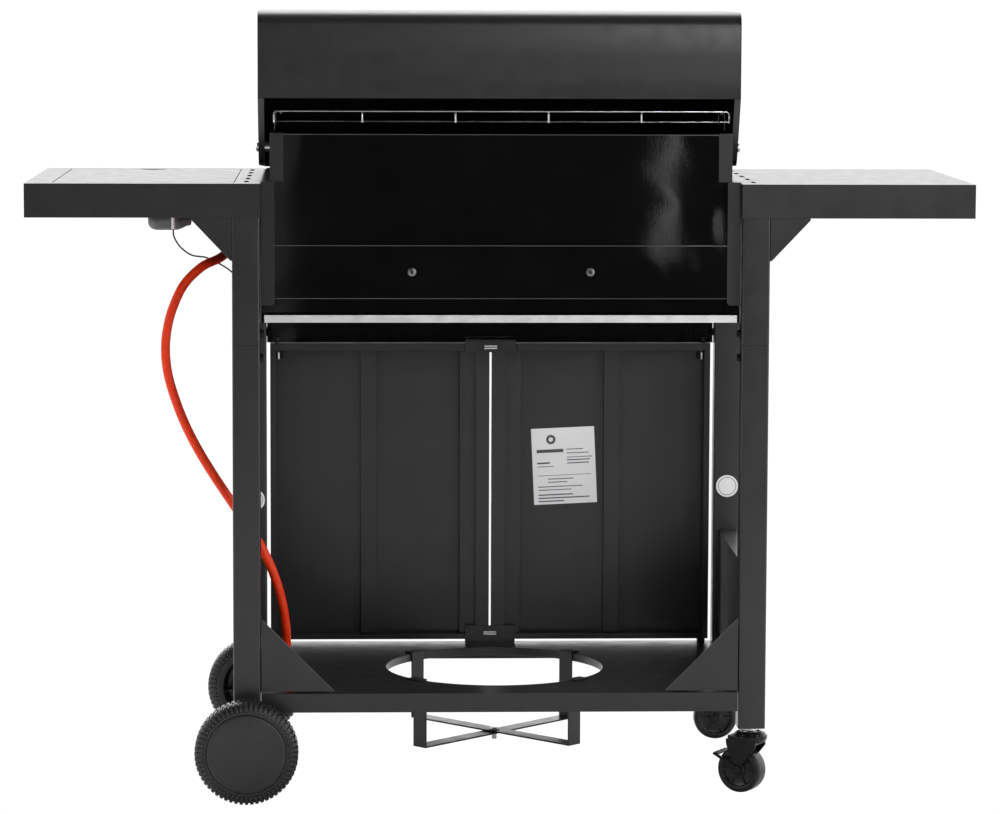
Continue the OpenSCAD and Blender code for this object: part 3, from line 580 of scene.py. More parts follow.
shell = Shape()
outer, inner = lid_outline(0), lid_outline(SKIN)
rows = []
for line in (outer, inner):
    rows.append([shell.verts([(x, y, z) for y, z in line], None)
                 for x in (LID_X[0] + SKIN, LID_X[1] - SKIN)])
for k in range(len(outer) - 1):
    for (left, right), flip in ((rows[0], 1), (rows[1], -1)):
        shell.face([left[k], left[k + 1], right[k + 1], right[k]][::flip])
    for side in (0, 1):
        shell.face([rows[0][side][k], rows[0][side][k + 1], rows[1][side][k + 1],
                     rows[1][side][k]])
for k in (0, len(outer) - 1):
    shell.face([rows[0][0][k], rows[0][1][k], rows[1][1][k], rows[1][0][k]])
shell.piece("lid_skin", "lid", "black_paint", replaces=["lid_shell"], sharp=40)

# the skirt's return fold along its lower rear edge
fold = Shape()
fold.prism([(213.8, 1016), (213.8, 1018), (207, 1018), (207, 1016.8), (212, 1016.8),
            (212, 1016)], "X", (LID_X[0] + 12, LID_X[1] - 12))
fold.piece("lid_skirt_fold", "lid", "black_paint", bevel=0.3)

# ---------------------------------------------------------------- lid handle and thermometer
GRIP_Y, GRIP_Z = -282, 965
MIDDLE_X = 3
handle = Shape()
for s in (-1, 1):
    x = MIDDLE_X + s * 215
    handle.lathe([(0, -219.8), (15, -219.8), (16, -221), (16, -224), (14.5, -226), (9, -227.5),
                  (8.6, -250), (9.2, -268), (9.2, -281), (0, -281)], "Y", (x, 0, GRIP_Z))
    end = MIDDLE_X + s * 250
    mirrored = Matrix.Translation(Vector((2 * end, 0, 0))) @ Matrix.Scale(-1, 4, (1, 0, 0))
    handle.lathe([(0, 0), (8, 0), (10.4, 1.2), (11, 3), (11, 9), (10.6, 10), (10.6, 250)],
                 "X", (end, GRIP_Y, GRIP_Z), place=mirrored if s > 0 else None)
handle.piece("lid_handle_bar", "lid", "stainless", replaces=["lid_handle"])

THERMO_AT = (MIDDLE_X, 0, 1015)
case = Shape()
case.lathe([(0, -221), (28, -221), (33, -222), (34, -224), (34, -233), (33.4, -235.2),
            (32, -236), (30.6, -235.6), (30, -234.4), (30, -232), (0, -232)],
           "Y", THERMO_AT, 72)
case.lathe([(0, -200), (10, -200), (10, -219), (12, -220.9), (0, -220.9)], "Y",
           THERMO_AT, 6)
case.lathe([(0, -120), (2.4, -120.6), (3, -122), (3, -200), (0, -200)], "Y", THERMO_AT, 24)
case.piece("thermometer_case", "lid", "stainless", replaces=["lid_thermometer"])

dial = Shape()
dial.lathe([(0, -232.1), (29.8, -232.1), (29.8, -232.3), (0, -232.3)], "Y", THERMO_AT, 64)
dial.piece("thermometer_dial", "lid", None, [DIAL])
ticks = Shape()
for k in range(25):
    angle = 225 - 11.25 * k
    long = k % 4 == 0
    ticks.block((21 if long else 24, 27.5), (-0.5 if long else -0.28, 0.5 if long else 0.28),
                (0, 0.12),
                turned((MIDDLE_X, -232.3, THERMO_AT[2]), -angle, "Y") @ Matrix.Rotation(
                    math.radians(90), 4, "X"))
ticks.piece("thermometer_ticks", "lid", None, [PRINT])
needle = Shape()
needle.prism([(-1.1, -7), (1.1, -7), (0.35, 24), (-0.35, 24)], "Y", (-233.9, -233.3),
             Matrix.Translation(Vector(THERMO_AT)))
needle.lathe([(0, -234.4), (1.6, -234.4), (2.8, -234), (3, -233.4), (3, -232.6), (0, -232.6)],
             "Y", THERMO_AT, 32)
needle.piece("thermometer_pointer", "thermometer_needle", "needle_red",
             replaces=["thermometer_needle"], bevel=0.1)
glass = Shape()
glass.lathe([(0, -235.1), (29.6, -234.9), (29.6, -234.6), (0, -234.8)], "Y", THERMO_AT, 64)
glass.piece("thermometer_glass", "lid", None, [GLASS])

# ---------------------------------------------------------------- warming rack
RACK_BACK, RACK_TOP, RACK_LOW, RACK_END = 165, 996, 981, 331
RACK_X = -2


def fillet(points, r, n=6):
    """A route in millimetres with its inner corners rounded, in metres."""
    p = [Vector(q) for q in points]
    out = [p[0]]
    for a, b, c in zip(p, p[1:], p[2:]):
        u, v = (a - b).normalized(), (c - b).normalized()
        cut = min(r, (a - b).length / 2, (c - b).length / 2)
        for k in range(n + 1):
            t = k / n
            out.append((1 - t) ** 2 * (b + u * cut) + 2 * t * (1 - t) * b + t * t * (b + v * cut))
    out.append(p[-1])
    return [q * MM for q in out]


left, right = RACK_X + RACK_END, RACK_X - RACK_END
hoop = fillet([(left, RACK_BACK, RACK_LOW - 1.5), (left, RACK_BACK, RACK_TOP),
               (right, RACK_BACK, RACK_TOP), (right, RACK_BACK, RACK_LOW - 1.5)], 6)
rack = wire_curve("warming_rack_frame", [hoop], 0.002)
cross = [[Vector((left, RACK_BACK, RACK_LOW)) * MM, Vector((right, RACK_BACK, RACK_LOW)) * MM]]
for y in range(50, 151, 10):
    cross.append([Vector((left, y, RACK_TOP)) * MM, Vector((right, y, RACK_TOP)) * MM])
thin = wire_curve("warming_rack_wires", cross, 0.0013)
ties = []
for x in (-202.5, -67.5, 67.5, 202.5):
    ties.append(fillet([(RACK_X + x, 48, RACK_TOP - 2.6),
                        (RACK_X + x, RACK_BACK + 2.4, RACK_TOP - 2.6),
                        (RACK_X + x, RACK_BACK + 2.4, RACK_LOW - 1.5)], 3))
for x in (-320, 320):
    ties.append([Vector((RACK_X + x, 48, RACK_TOP - 2.6)) * MM,
                 Vector((RACK_X + x, RACK_BACK, RACK_TOP - 2.6)) * MM])
tie = wire_curve("warming_rack_ties", ties, 0.0014)
props = []
for s in (-1, 1):
    for y in (50, 142):
        props.append([Vector((s * 328.6, y, h)) * MM for h in (RACK_TOP - 1.5, 934)])
prop = wire_curve("warming_rack_props", props, 0.0021)
for obj, finish in ((rack, "chrome"), (thin, "chrome"), (tie, "chrome"), (prop, "black_enamel")):
    obj.data.materials.append(FINISH[finish])
    settle(obj, "cart")
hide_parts("warming_rack")

# ---------------------------------------------------------------- large wheels
WHEEL_AT, WHEEL_R = (368, 249, 75), 75
LUGS, LUG_HALF = 60, 2.45
TREAD_LINE = [(5.2, 0), (14, 0), (15, 1), (15, 31), (44, 31), (46.5, 29), (49.5, 5), (51, 3),
              (58, 1.6), (61, 1.8), (66, 2.6), (70.5, 5.6), (72.8, 9.6), (73.2, 21),
              (72.8, 32.4), (70.5, 36.6), (66, 39.5), (61.4, 40.3), (60, 40.7), (58.6, 40.2),
              (58.3, 38.8), (5.2, 38.8)]


def wheel_lug(shape, place, near, out, step):
    """One lug, over the tread from near to the side at out and down that side."""
    line = [(near, 73), (near, 74.4), (out - step * 8, 75), (out - step * 4.2, 74.2),
            (out - step * 1.4, 71), (out, 66), (out, 62.5), (out - step * 2, 60.8),
            (out - step * 2.6, 60.8)]
    left, right = (shape.verts([(side * LUG_HALF * r / WHEEL_R, h, r) for h, r in line], place)
                   for side in (-1, 1))
    core = shape.verts([(0, out - step * 7, 64)], place)[0]
    for i in range(len(line) - 1):
        shape.face([left[i], left[i + 1], right[i + 1], right[i]])
        shape.face([left[i + 1], left[i], core])
        shape.face([right[i], right[i + 1], core])
    shape.face([left[0], right[0], core])
    shape.face([left[-1], core, right[-1]])


def road_wheel(name, body, node, side):
    """Ribbed tyre, dished inner side with ribs and hub, and a smooth disc."""
    w = Shape()
    flip = Matrix.Identity(4) if side > 0 else Matrix.Scale(-1, 4, (0, 1, 0))
    at = flip @ Matrix.Translation(Vector(WHEEL_AT))
    w.lathe(TREAD_LINE, "Y", steps=120, closed=True, place=at)
    for k in range(LUGS):
        spin = at @ Matrix.Rotation(math.radians(360 / LUGS * k), 4, "Y")
        wheel_lug(w, spin, 22.5, 41.9, 1)
        wheel_lug(w, spin @ Matrix.Rotation(math.radians(3), 4, "Y"), 19.5, 0.3, -1)
    for k in range(8):
        rib = at @ Matrix.Rotation(math.radians(45 * k + 10), 4, "Y")
        w.prism([(14.5, 31.5), (14.5, 6), (48.8, 12), (46.6, 31.5)], "Z", (0, 1), rib)
    w.piece(name, body, "wheel_plastic", replaces=[node], sharp=38)
    d = Shape()
    d.lathe([(0, 43.9), (20, 43.86), (40, 43.6), (52, 43.15), (56, 42.8), (57.1, 42.2),
             (57.4, 41), (57.4, 38.9), (0, 38.9)], "Y", steps=120, place=at)
    d.piece(name + "_disc", body, "wheel_plastic", [DISC], sharp=50)


road_wheel("wheel_rear_moulding", "wheel_rear", "wheel_rear", 1)
road_wheel("wheel_front_moulding", "wheel_front", "wheel_front", -1)

# ---------------------------------------------------------------- casters
TRAIL, CASTER_R = 13, 34


def caster(tag, side, turn):
    """Wheel with spokes, swivel fork and brake pedal, turned on its stem."""
    at = turned((-LEG, side * LEG_Y, 0), turn)
    wheel_at = at @ Matrix.Translation(Vector((TRAIL, 0, CASTER_R)))
    w = Shape()
    half = [(0, 19.8), (2.4, 19.8), (3, 19.2), (3, 14.4), (9.5, 14.3), (10.5, 13.6), (11, 11),
            (21.5, 10.6), (23.5, 11.4), (24.5, 13.4), (25.5, 13.9), (30, 13.7), (32.2, 12.8),
            (33.5, 11), (33.9, 8), (34, 0)]
    line = half + [(r, -h) for r, h in half[-2::-1]]
    w.lathe(line, "Y", steps=72, place=wheel_at)
    for k in range(6):
        spoke = wheel_at @ Matrix.Rotation(math.radians(60 * k), 4, "Y")
        for y in ((-13.2, -8.8), (8.8, 13.2)):
            w.block((10, 24.5), y, (-1.1, 1.1), spoke)
    w.piece(f"caster_wheel_{tag}_tyre", f"caster_wheel_{tag}", "wheel_plastic", [TYRE],
            replaces=[f"caster_wheel_{tag}"], sharp=40)
    f = Shape()
    f.lathe([(5.1, 76), (22, 76), (23, 77), (23.4, 79), (24.6, 80), (25.3, 81.5), (25.5, 84),
             (25.2, 86), (24, 87.2), (22.8, 87.4), (22.5, 88.6), (21, 90.4), (18, 91.7),
             (14, 92), (13.2, 91.2), (12.6, 90.2), (5.1, 90.2)], "Z", steps=64, closed=True,
            place=at)
    for s in (-1, 1):
        span = (15.2, 17.7) if s > 0 else (-17.7, -15.2)
        f.prism([(-17, 79), (-17, 70), (TRAIL - 7.5, 42)] + arc((TRAIL, CASTER_R), 8, 150, 390, 14)
                + [(TRAIL + 8, 44), (30, 70), (31, 74), (31, 80)], "Y", span, at)
        rib = (17.4, 18.1) if s > 0 else (-18.1, -17.4)
        f.prism([(-11, 76), (TRAIL - 3.5, 44), (TRAIL + 2, 44), (10, 76)], "Y", rib, at)
    f.prism(rounded((-2, 31), (-15.4, 15.4), 5), "Z", (74.5, 84), at)
    f.block((-15, 28), (-15.4, 15.4), (72.5, 76.5), at)
    f.piece(f"caster_fork_{tag}_housing", f"caster_fork_{tag}", "fork_plastic",
            replaces=[f"caster_fork_{tag}"], bevel=0.7)
    b = Shape()
    for s in (-1, 1):
        span = (18.2, 20.2) if s > 0 else (-20.2, -18.2)
        hub = (TRAIL, CASTER_R)
        b.ring(arc(hub, 7.4, 0, 360, 28)[:-1], arc(hub, 3.1, 0, 360, 28)[:-1], "Y", span, at)
        b.prism([(TRAIL - 1, 40.5), (TRAIL + 5, 37.5), (TRAIL + 36, 54.2), (TRAIL + 37, 56.8),
                 (TRAIL + 34, 58)], "Y", span, at)
    b.prism(rounded((TRAIL + 30, TRAIL + 38), (54, 58), 1.8), "Y", (-20.2, 20.2), at)
    for k in range(7):
        b.prism(rounded((TRAIL + 31.2, TRAIL + 36.8), (57.8, 58.6), 0.3, 2), "Y",
                (-17 + k * 5, -15 + k * 5), at)
    b.piece(f"caster_brake_{tag}_pedal", f"caster_brake_{tag}", "fork_plastic",
            replaces=[f"caster_brake_{tag}"], bevel=0.5)


caster("front", -1, 0)
caster("rear", 1, -32)

stems = Shape()
for side in (-1, 1):
    at = Matrix.Translation(Vector((-LEG, side * LEG_Y, 0)))
    stems.lathe([(0, 80), (5, 80), (5, 92.5), (10, 92.5), (11.2, 93.4), (11.2, 97.4), (10, 98.4),
                 (5, 98.4), (5, 99), (0, 99)], "Z", steps=40, place=at)
    stems.prism(tube_outline(18.3, 1.4), "Z", (99, 118), at)
    stems.prism([(9.2 * math.cos(math.radians(60 * k + 12)),
                  9.2 * math.sin(math.radians(60 * k + 12))) for k in range(6)], "Z",
                (98.2, 99.4), at)
stems.piece("caster_stem_bolts", "cart", "zinc", replaces=["caster_stems"], bevel=0.25)

# ---------------------------------------------------------------- fasteners
HINGE_Y, HINGE_Z = 165, 945
bolts, nuts, screws = Shape(), Shape(), Shape()


def dome(shape, axis, at, r, h, out, drive="cross", place=None):
    """A pan head standing out along an axis, with a cross or hex drive."""
    line = [(0, -0.3), (r, -0.3), (r, h * 0.3), (r * 0.93, h * 0.62), (r * 0.72, h * 0.9),
            (r * 0.45, h)]
    line.append((r * 0.42, h - r * 0.35) if drive == "hex" else (r * 0.2, h * 1.03))
    line.append((0, line[-1][1]))
    shape.lathe([(a, b * out) for a, b in line], axis, at, 6 if drive == "six" else 28,
                place=place)


for s in (-1, 1):
    spot = (s * 129, 212.4, 766)
    screws.lathe([(0, 0), (6, 0), (6, 0.5), (5.2, 0.9), (0, 0.9)], "Y", spot, 28)
    dome(screws, "Y", (spot[0], 213.1, spot[2]), 4.4, 2.2, 1)
    # The cross drive is two near-black bars on the head: painted shade for the recess.
    screws.paint = 1
    for tilt in (38, 128):
        screws.block((-3.2, 3.2), (1.4, 2.6), (-0.8, 0.8),
                     turned((spot[0], 213.1, spot[2]), tilt, "Y"))
    screws.paint = 0
    for rear in (-1, 1):
        for z in (642, 677):
            nuts.lathe([(0, 0), (7.5, 0), (7.5, -1), (0, -1)], "X",
                       (LEG_INNER, rear * LEG_Y, z), 28, place=Matrix.Scale(s, 4, (1, 0, 0)))
            nuts.lathe([(0, -1), (6.4, -1), (6.4, -4.4), (5.6, -5.2), (0, -5.2)], "X",
                       (LEG_INNER, rear * LEG_Y, z), 6, place=Matrix.Scale(s, 4, (1, 0, 0)))
    outer_x = 350.5 if s > 0 else 344.5
    m = Matrix.Scale(s, 4, (1, 0, 0))
    bolts.lathe([(0, 0.1), (8, 0.1), (8, 1.2), (7.2, 2.8), (5.2, 3.9), (3.4, 4), (3, 2.6),
                 (0, 2.6)], "X", (outer_x, HINGE_Y, HINGE_Z), 32, place=m)
    bolts.lathe([(0, 327.6), (4, 327.6), (4, outer_x), (0, outer_x)], "X",
                (0, HINGE_Y, HINGE_Z), 24, place=m)
    bolts.lathe([(4, 328.6), (7.6, 328.6), (8, 329), (8, 332.2), (4, 332.2)], "X",
                (0, HINGE_Y, HINGE_Z), 6, place=m)
    bolts.lathe([(4, 333.8), (8, 333.8), (8, outer_x - 1.7), (4, outer_x - 1.7)], "X",
                (0, HINGE_Y, HINGE_Z), 32, place=m)
bolts.lathe([(0, 40), (2.6, 40), (3.9, 41.2), (4, 42), (4, 50), (0, 50)], "Z", (0, -2, 0), 24)
bolts.lathe([(0, 55.1), (8, 55.1), (8, 56.2), (7.4, 57.7), (5, 58), (0, 58)], "Z", (0, -2, 0), 6)
bolts.piece("bolt_set", "cart", "zinc", replaces=["fasteners"], sharp=30)
nuts.piece("leg_joint_nuts", "cart", "zinc", [FINISH["fork_plastic"]], sharp=30)
screws.piece("firebox_screws", "cart", "zinc", [DULL_ZINC, FINISH["fork_plastic"]], sharp=30)

# ---------------------------------------------------------------- knobs and button
KNOB_Z, PANEL_Y = 826, -250
KNOB_X = {"knob_1": -260, "knob_2": -130, "knob_3": 0, "knob_4": 130, "knob_side_burner": 260}
for name, x in KNOB_X.items():
    k = Shape()
    k.lathe([(4, -250.7), (26, -250.7), (27, -251.6), (27, -254.6), (26, -256.6), (22.6, -258.2),
             (21.2, -259.2), (20.4, -270), (19.2, -273.8), (17, -275), (0, -275)],
            "Y", (x, 0, KNOB_Z), 64)
    for i in range(24):
        k.block((-0.9, 0.9), (-272.5, -260), (19.6, 21.5), turned((x, 0, KNOB_Z), 15 * i + 7, "Y"))
    k.prism([(x + a, KNOB_Z + b) for a, b in rounded((-5, 5), (-17.5, 17.5), 4)], "Y",
            (-282, -274.5))
    k.lathe([(0, -250.8), (4, -250.8), (4, -238.5), (0, -238.5)], "Y", (x, 0, KNOB_Z), 24)
    k.piece(name + "_grip", name, "knob_plastic", replaces=[name], bevel=0.55)
    p = Shape()
    p.block((x - 0.9, x + 0.9), (-282.15, -281.6), (KNOB_Z + 4, KNOB_Z + 15.5))
    p.piece(name + "_pointer", name, None, [WHITE_MARK], bevel=0.05)
    bezel = Shape()
    bezel.lathe([(28.2, -250), (33.5, -250), (33.8, -250.6), (33, -252.2), (30.6, -253),
                 (28.8, -252.4), (28.2, -251)], "Y", (x, 0, KNOB_Z), 72, closed=True)
    bezel.piece(name + "_bezel", "cart", "stainless", sharp=60)
    scale = Shape()
    for i in range(10):
        size = 0.35 + 0.1 * i
        scale.block((-size, size), (-0.12, 0), (36.8, 40.6),
                    turned((x, PANEL_Y, KNOB_Z), -22.5 * i, "Y"))
    scale.piece(name + "_scale", "cart", None, [WHITE_MARK])

IGNITER_X = 195
push = Shape()
push.lathe([(0, -246.6), (11, -246.6), (11, -248.4), (8, -248.5), (8, -257.4), (7.2, -258.7),
            (5.6, -259), (0, -258.6)], "Y", (IGNITER_X, 0, KNOB_Z), 40)
push.piece("igniter_button_cap", "igniter_button", "knob_plastic", replaces=["igniter_button"],
           bevel=0.3)
collar = Shape()
collar.lathe([(8.3, -250), (12.5, -250), (12.8, -250.6), (12, -252.2), (9.6, -252.8),
              (8.3, -252.4)], "Y", (IGNITER_X, 0, KNOB_Z), 48, closed=True)
collar.piece("igniter_collar", "cart", "knob_plastic", sharp=60)

# ---------------------------------------------------------------- door catches and hinge pins
DOOR_LOW, DOOR_TOP, DOOR_HALF, DOOR_BACK = 158.3, 624, 342.5, -206
LIP = 9.1
CATCH_Y = -205
plates, magnets = Shape(), Shape()
for z, slot_z, flange_y, flange_z in (((610, 629.4), (614.2, 621.2), (-215, -193), (628.2, 629.4)),
                                      ((152, 180.3), (164.6, 171.6), (-203.8, -185), (152, 153.2))):
    plates.ring(rounded((-39, 39), z, 3), rounded((-15.5, 15.5), slot_z, 3), "Y",
                (CATCH_Y, CATCH_Y + 1.2))
    plates.block((-39, 39), flange_y, flange_z)
    # The magnet body is in near-black plastic, so it is also painted shade in the slot's recess.
    magnets.block((-17, 17), (CATCH_Y - 3, CATCH_Y - 2), (slot_z[0] - 1, slot_z[1] + 1))
    magnets.paint = 1
    # The pole bars take white ceramic as a painted highlight for their bright plated steel.
    for low in (slot_z[0] + 0.8, slot_z[0] + 4.2):
        magnets.block((-10, 10), (CATCH_Y - 2, CATCH_Y + 1.2), (low, low + 2))
    magnets.paint = 0
plates.piece("door_catch_plates", "cart", "black_paint", replaces=["door_catches"], bevel=0.3)
magnets.piece("door_catch_magnets", "cart", "black_paint",
              [FINISH["fork_plastic"], FINISH["ceramic"]], bevel=0.2)
for side, body in ((1, "door_right"), (-1, "door_left")):
    lips = Shape()
    for x, z in (((41, DOOR_HALF - LIP), (DOOR_TOP - 11.6, DOOR_TOP)),
                 ((22.4, DOOR_HALF - LIP), (DOOR_LOW, DOOR_LOW + 8.7)),
                 ((DOOR_HALF - LIP, DOOR_HALF), (DOOR_LOW, DOOR_TOP))):
        lips.block(sorted((side * x[0], side * x[1])), (DOOR_BACK - SKIN, DOOR_BACK), z)
    lips.piece(f"{body}_return_lips", body, "black_paint", bevel=0.5)
    pin = Shape()
    # A near-black block behind the pin: painted shade for the dark slot around it.
    pin.block(sorted((side * 322, side * 336)), (-226, -222), (598, 611))
    pin.paint = 1
    pin.lathe([(0, 598), (1.6, 598), (2, 598.6), (2, 609.4), (1.6, 610), (0, 610)], "Z",
              (side * 329.6, -212, 0), 24)
    pin.piece(f"{body}_hinge_pin", body, "zinc", [FINISH["fork_plastic"], FINISH["zinc"]],
              bevel=0.2)

# ---------------------------------------------------------------- painted highlights along firebox and gusset edges
# Thin light-grey wires along edges: painted highlights standing in for the light these edges catch.
firebox_highlight_wires = wire_curve("firebox_painted_highlight_wires", [
    [Vector((x, y, z)) * MM for x in (-end, end)]
    for end, y, z in ((345, 211.9, 804), (326, 212, 727.6), (331, 207.8, 964))], 0.0005, sides=3)
gusset_highlight_wires = wire_curve("gusset_painted_highlight_wires", [
    [Vector((side * x, 227.5, z)) * MM for x, z in ((346.5, 261.4), (241.4, 156))]
    for side in (-1, 1)], 0.0005, sides=3)
# Both sets take the lighter painted-highlight grey, not the black finish named beside them.
for obj, slot in ((firebox_highlight_wires, "black_enamel"), (gusset_highlight_wires, "black_paint")):
    obj.data.materials.append(PAINTED_EDGE_HIGHLIGHT)
    settle(obj, "cart")

# ---------------------------------------------------------------- door handles
for side, body in ((1, "door_right"), (-1, "door_left")):
    h = Shape()
    x = side * 34
    h.lathe([(0, 410), (4.6, 410), (5.7, 411), (6, 412.4), (6, 567.6), (5.7, 569), (4.6, 570),
             (0, 570)], "Z", (x, -260, 0), 32)
    for z in (425, 555):
        h.lathe([(0, -228), (7, -228), (7, -229.2), (5.4, -230.4), (4, -231), (4, -258),
                 (0, -258)], "Y", (x, 0, z), 28)
    h.piece(f"{body}_pull", body, "stainless", replaces=[f"door_handle_{body[5:]}"], sharp=35)

# ---------------------------------------------------------------- stickers
sheet_at = turned((-116.25, -226.6, 429.5), 2.7, "Y")
label = Shape()
label.block((-49.4, 49.4), (-0.2, 0.06), (-60, 60), sheet_at)
label.paint = 1
label.ring(arc((19, 42), 7.4, 0, 360, 30)[:-1], arc((19, 42), 3.6, 0, 360, 30)[:-1], "Y",
           (0.06, 0.1), sheet_at)
for x0, width, z0, high in ((5, 34, 19, 1.3), (5, 26, 25, 1.3), (5, 34, 3, 1.7), (5, 36, 8, 1.7),
                            (5, 40, 12.5, 1.2), (-42, 20, 4, 2.4), (-42, 26, -1, 1),
                            (-42, 42, 21.5, 5), (-42, 84, -15, 0.8), (-26, 40, -21, 1.4),
                            (-26, 30, -26, 1.4), (-42, 70, -33, 1.3), (-42, 52, -38, 1.3),
                            (-42, 54, -46, 1.8), (-42, 80, -51, 1.8), (-42, 40, -56, 1.8)):
    label.block((-x0 - width, -x0), (0.06, 0.1), (z0, z0 + high), sheet_at)
label.piece("data_sticker", "door_left", None, [PAPER, PRINT])
for tag, x, z in (("left", -368.9, 401.9), ("right", 368.0, 381.0)):
    spot = Shape()
    spot.lathe([(0, -188.2), (17.2, -188.2), (17.2, -187.86), (0, -187.86)], "Y", (x, 0, z), 48)
    spot.paint = 1
    spot.lathe([(13.4, -187.9), (14.2, -187.9), (14.2, -187.8), (13.4, -187.8)], "Y", (x, 0, z),
               48, closed=True)
    spot.piece(f"round_sticker_{tag}", "cart", None, [PAPER, PRINT])

# ---------------------------------------------------------------- gas fitting, burner parts
COUPLING_AT = (313, 0, 164.5)
ELECTRODE_AT = (479, 60, 0)
VENTURI_X, VENTURI_Z = 495, 829
fit = Shape()
fit.lathe([(7.2, 22), (8.4, 22), (9, 21.2), (9, 19), (8.2, 18.4), (8.2, 16.8), (9, 16.2),
           (9, 13.8), (8.2, 13.2), (8.2, 11.6), (9, 11), (9, 8.5), (8.2, 7.9), (8.2, 6.2),
           (9, 5.6), (9, 4), (0, 4), (0, 10), (7.2, 10)], "Y", COUPLING_AT, 40)
fit.lathe([(8, -20), (12.4, -20), (13.86, -18.8), (13.86, 2.8), (12.4, 4), (0, 4), (0, -8),
           (8, -8)], "Y", COUPLING_AT, 6)
for i in range(8):
    fit.lathe([(8.05, -20 + i * 1.5), (7.2, -19.25 + i * 1.5), (8.05, -18.5 + i * 1.5)], "Y",
              COUPLING_AT, 32, closed=True)
coupling = fit.piece("hose_coupling", "cart", "brass", replaces=["hose_fitting"], bevel=0.25)

probe = Shape()
probe.lathe([(0, 817.5), (1.6, 817.5), (2.2, 818), (2.75, 819.5), (2.75, 855.5), (0, 855.5)],
            "Z", ELECTRODE_AT, 28)
probe.lathe([(2.8, 846), (5.5, 846), (6, 847), (6, 849), (5.5, 850), (2.8, 850)], "Z",
            ELECTRODE_AT, 28, closed=True)
probe.piece("igniter_insulator", "cart", "ceramic", replaces=["igniter_electrode"], sharp=35)

venturi = Shape()
venturi.lathe([(0, 455), (7.5, 455), (9, 456), (9.6, 458), (10.4, 462), (13.5, 468), (15.8, 474),
               (16.5, 481), (16.5, 503), (16.1, 508), (14.6, 513), (11.6, 517), (7, 519.1),
               (0, 519.5)], "X", (0, 0, VENTURI_Z), 48)
venturi.lathe([(11.5, 836), (11.5, 850), (14, 850.5), (14, 853.5), (11, 855.5)], "Z",
              (VENTURI_X, 0, 0), 36)
for a in (0, 120, 240):
    venturi.lathe([(0, 846), (3.4, 846), (3.4, 855), (0, 855)], "Z", (14.5, 0, 0), 20,
                  place=turned((VENTURI_X, 0, 0), a + 30))
venturi.piece("side_burner_casting", "cart", "cast_aluminium", replaces=["side_burner_tube"],
              sharp=40)
feed_route = [(x, y, VENTURI_Z) for x, y in ((455, 0), (408, 0), (408, -240), (388.6, -240))]
feed = wire_curve("side_burner_feed_pipe", [fillet(feed_route, 9)], 0.004)
feed.data.materials.append(FINISH["zinc"])
settle(feed, "cart")

# ---------------------------------------------------------------- cord materials
for cord, slot, node in ((hose, "red_hose", "gas_hose"), (igniter, "black_wire", "igniter_wire")):
    cord.data.materials.append(FINISH[slot])
    settle(cord, "cart", [node])

# ---------------------------------------------------------------- every CAD node still shown
for node_name, node_obj in nodes.items():
    if not node_obj.hide_render:
        keep(node_name, SLOTS[node_name], EDGE.get(node_name, 0.4))

# ---------------------------------------------------------------- studio
floor = Shape()
floor.block((-4000, 4000), (-5000, 3200), (-20, 0))
bmesh.ops.scale(floor.bm, vec=(MM, MM, MM), verts=floor.bm.verts)
floor_mesh = bpy.data.meshes.new("studio_floor")
floor.bm.to_mesh(floor_mesh)
floor.bm.free()
floor_obj = bpy.data.objects.new("studio_floor", floor_mesh)
bpy.context.scene.collection.objects.link(floor_obj)
n = Nodes("studio_floor", Specular_IOR_Level=0.2)
floor_mesh.materials.append(n.finish(
    n.ramp(n.noise(0.6, 3.0), [(0.3, (0.90, 0.90, 0.90)), (0.7, (0.93, 0.93, 0.93))]),
    n.spread(n.noise(3.0, 3.0), 0.75, 0.85)))
floor_obj.visible_camera = False        # the floor only bounces light, the backdrop is white

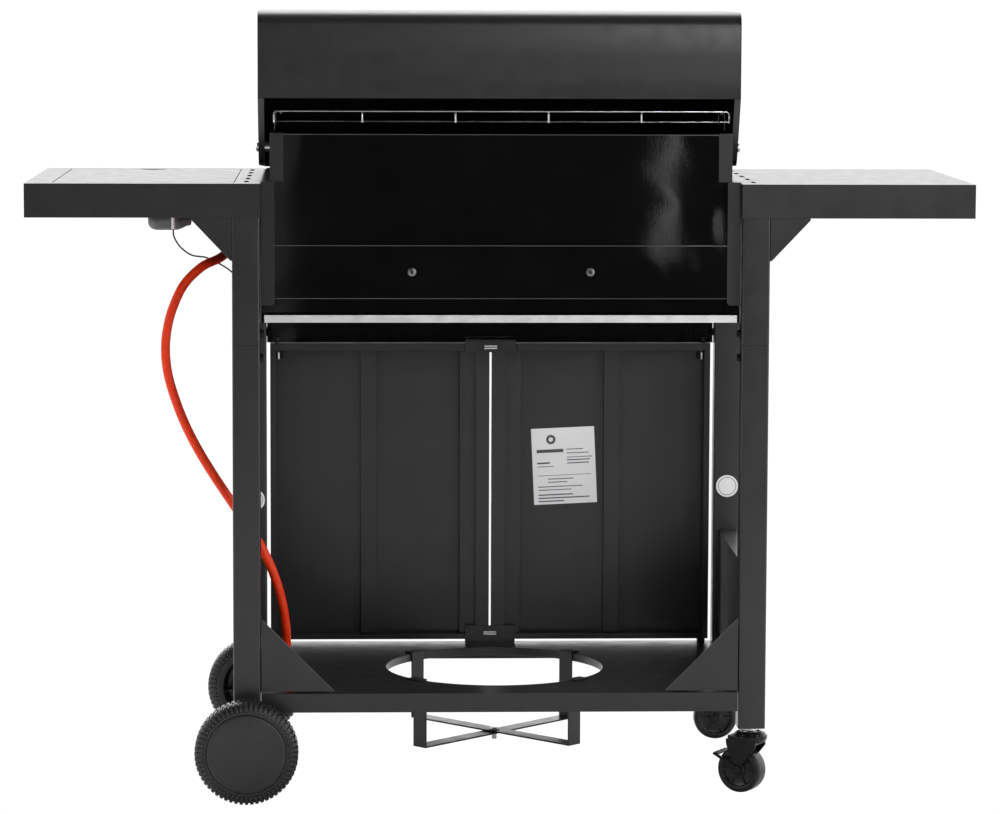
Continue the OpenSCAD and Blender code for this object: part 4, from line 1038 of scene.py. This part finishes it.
world = bpy.data.worlds.new("studio")
bpy.context.scene.world = world
world.use_nodes = True
wt = world.node_tree
background = wt.nodes["Background"]
background.inputs["Strength"].default_value = 1.9
direction = wt.nodes.new("ShaderNodeTexCoord").outputs["Generated"]
split = wt.nodes.new("ShaderNodeSeparateXYZ")
wt.links.new(direction, split.inputs["Vector"])
side_ramp = wt.nodes.new("ShaderNodeValToRGB")
stops = side_ramp.color_ramp.elements
while len(stops) < 5:
    stops.new(0.5)
for stop, (at, level) in zip(stops, ((0.30, 1.0), (0.42, 0.42), (0.50, 0.17), (0.62, 0.09),
                                     (0.80, 0.014))):
    stop.position = at
    stop.color = (level, level, level, 1.0)
shift = wt.nodes.new("ShaderNodeMapRange")
shift.inputs["From Min"].default_value = -1.0
shift.inputs["From Max"].default_value = 1.0
wt.links.new(split.outputs["Y"], shift.inputs["Value"])
wt.links.new(shift.outputs["Result"], side_ramp.inputs["Fac"])
white = wt.nodes.new("ShaderNodeMixRGB")
white.inputs["Color2"].default_value = (0.56, 0.56, 0.56, 1.0)
wt.links.new(wt.nodes.new("ShaderNodeLightPath").outputs["Is Camera Ray"], white.inputs["Fac"])
wt.links.new(side_ramp.outputs["Color"], white.inputs["Color1"])
wt.links.new(white.outputs["Color"], background.inputs["Color"])


def area(name, at, target, size, power):
    """A rectangular lamp aimed at a point, unseen by the camera."""
    light = bpy.data.lights.new(name, "AREA")
    light.shape = "RECTANGLE"
    light.size, light.size_y = size
    light.energy = power
    obj = bpy.data.objects.new(name, light)
    bpy.context.scene.collection.objects.link(obj)
    obj.location = at
    obj.visible_camera = False
    obj.rotation_euler = (Vector(target) - Vector(at)).to_track_quat("-Z", "Y").to_euler()


area("top_softbox", (0.0, -2.1, 4.2), (0, 0, 0.5), (4.5, 3.2), 150)
area("left_strip", (3.9, 2.4, 1.6), (0, 0, 0.7), (0.8, 2.6), 34)
area("right_strip", (-3.6, 2.8, 1.6), (0, 0, 0.7), (0.8, 2.6), 70)
area("rear_key", (-1.05, 4.4, 1.72), (-0.2, 0, 1.0), (0.9, 0.4), 24)
area("gleam_narrow", (-0.475, 3.0, 0.73), (-0.25, 0.2, 0.9), (0.034, 0.30), 0.045)
area("gleam_side", (-0.66, 3.0, 0.7), (-0.3, 0.2, 0.9), (0.035, 0.5), 0.05)
area("glow_left", (0.75, 3.0, 0.7), (0.3, 0.2, 0.9), (0.8, 0.8), 0.45)

bpy.context.scene.view_settings.view_transform = "Standard"
bpy.context.scene.view_settings.look = "None"
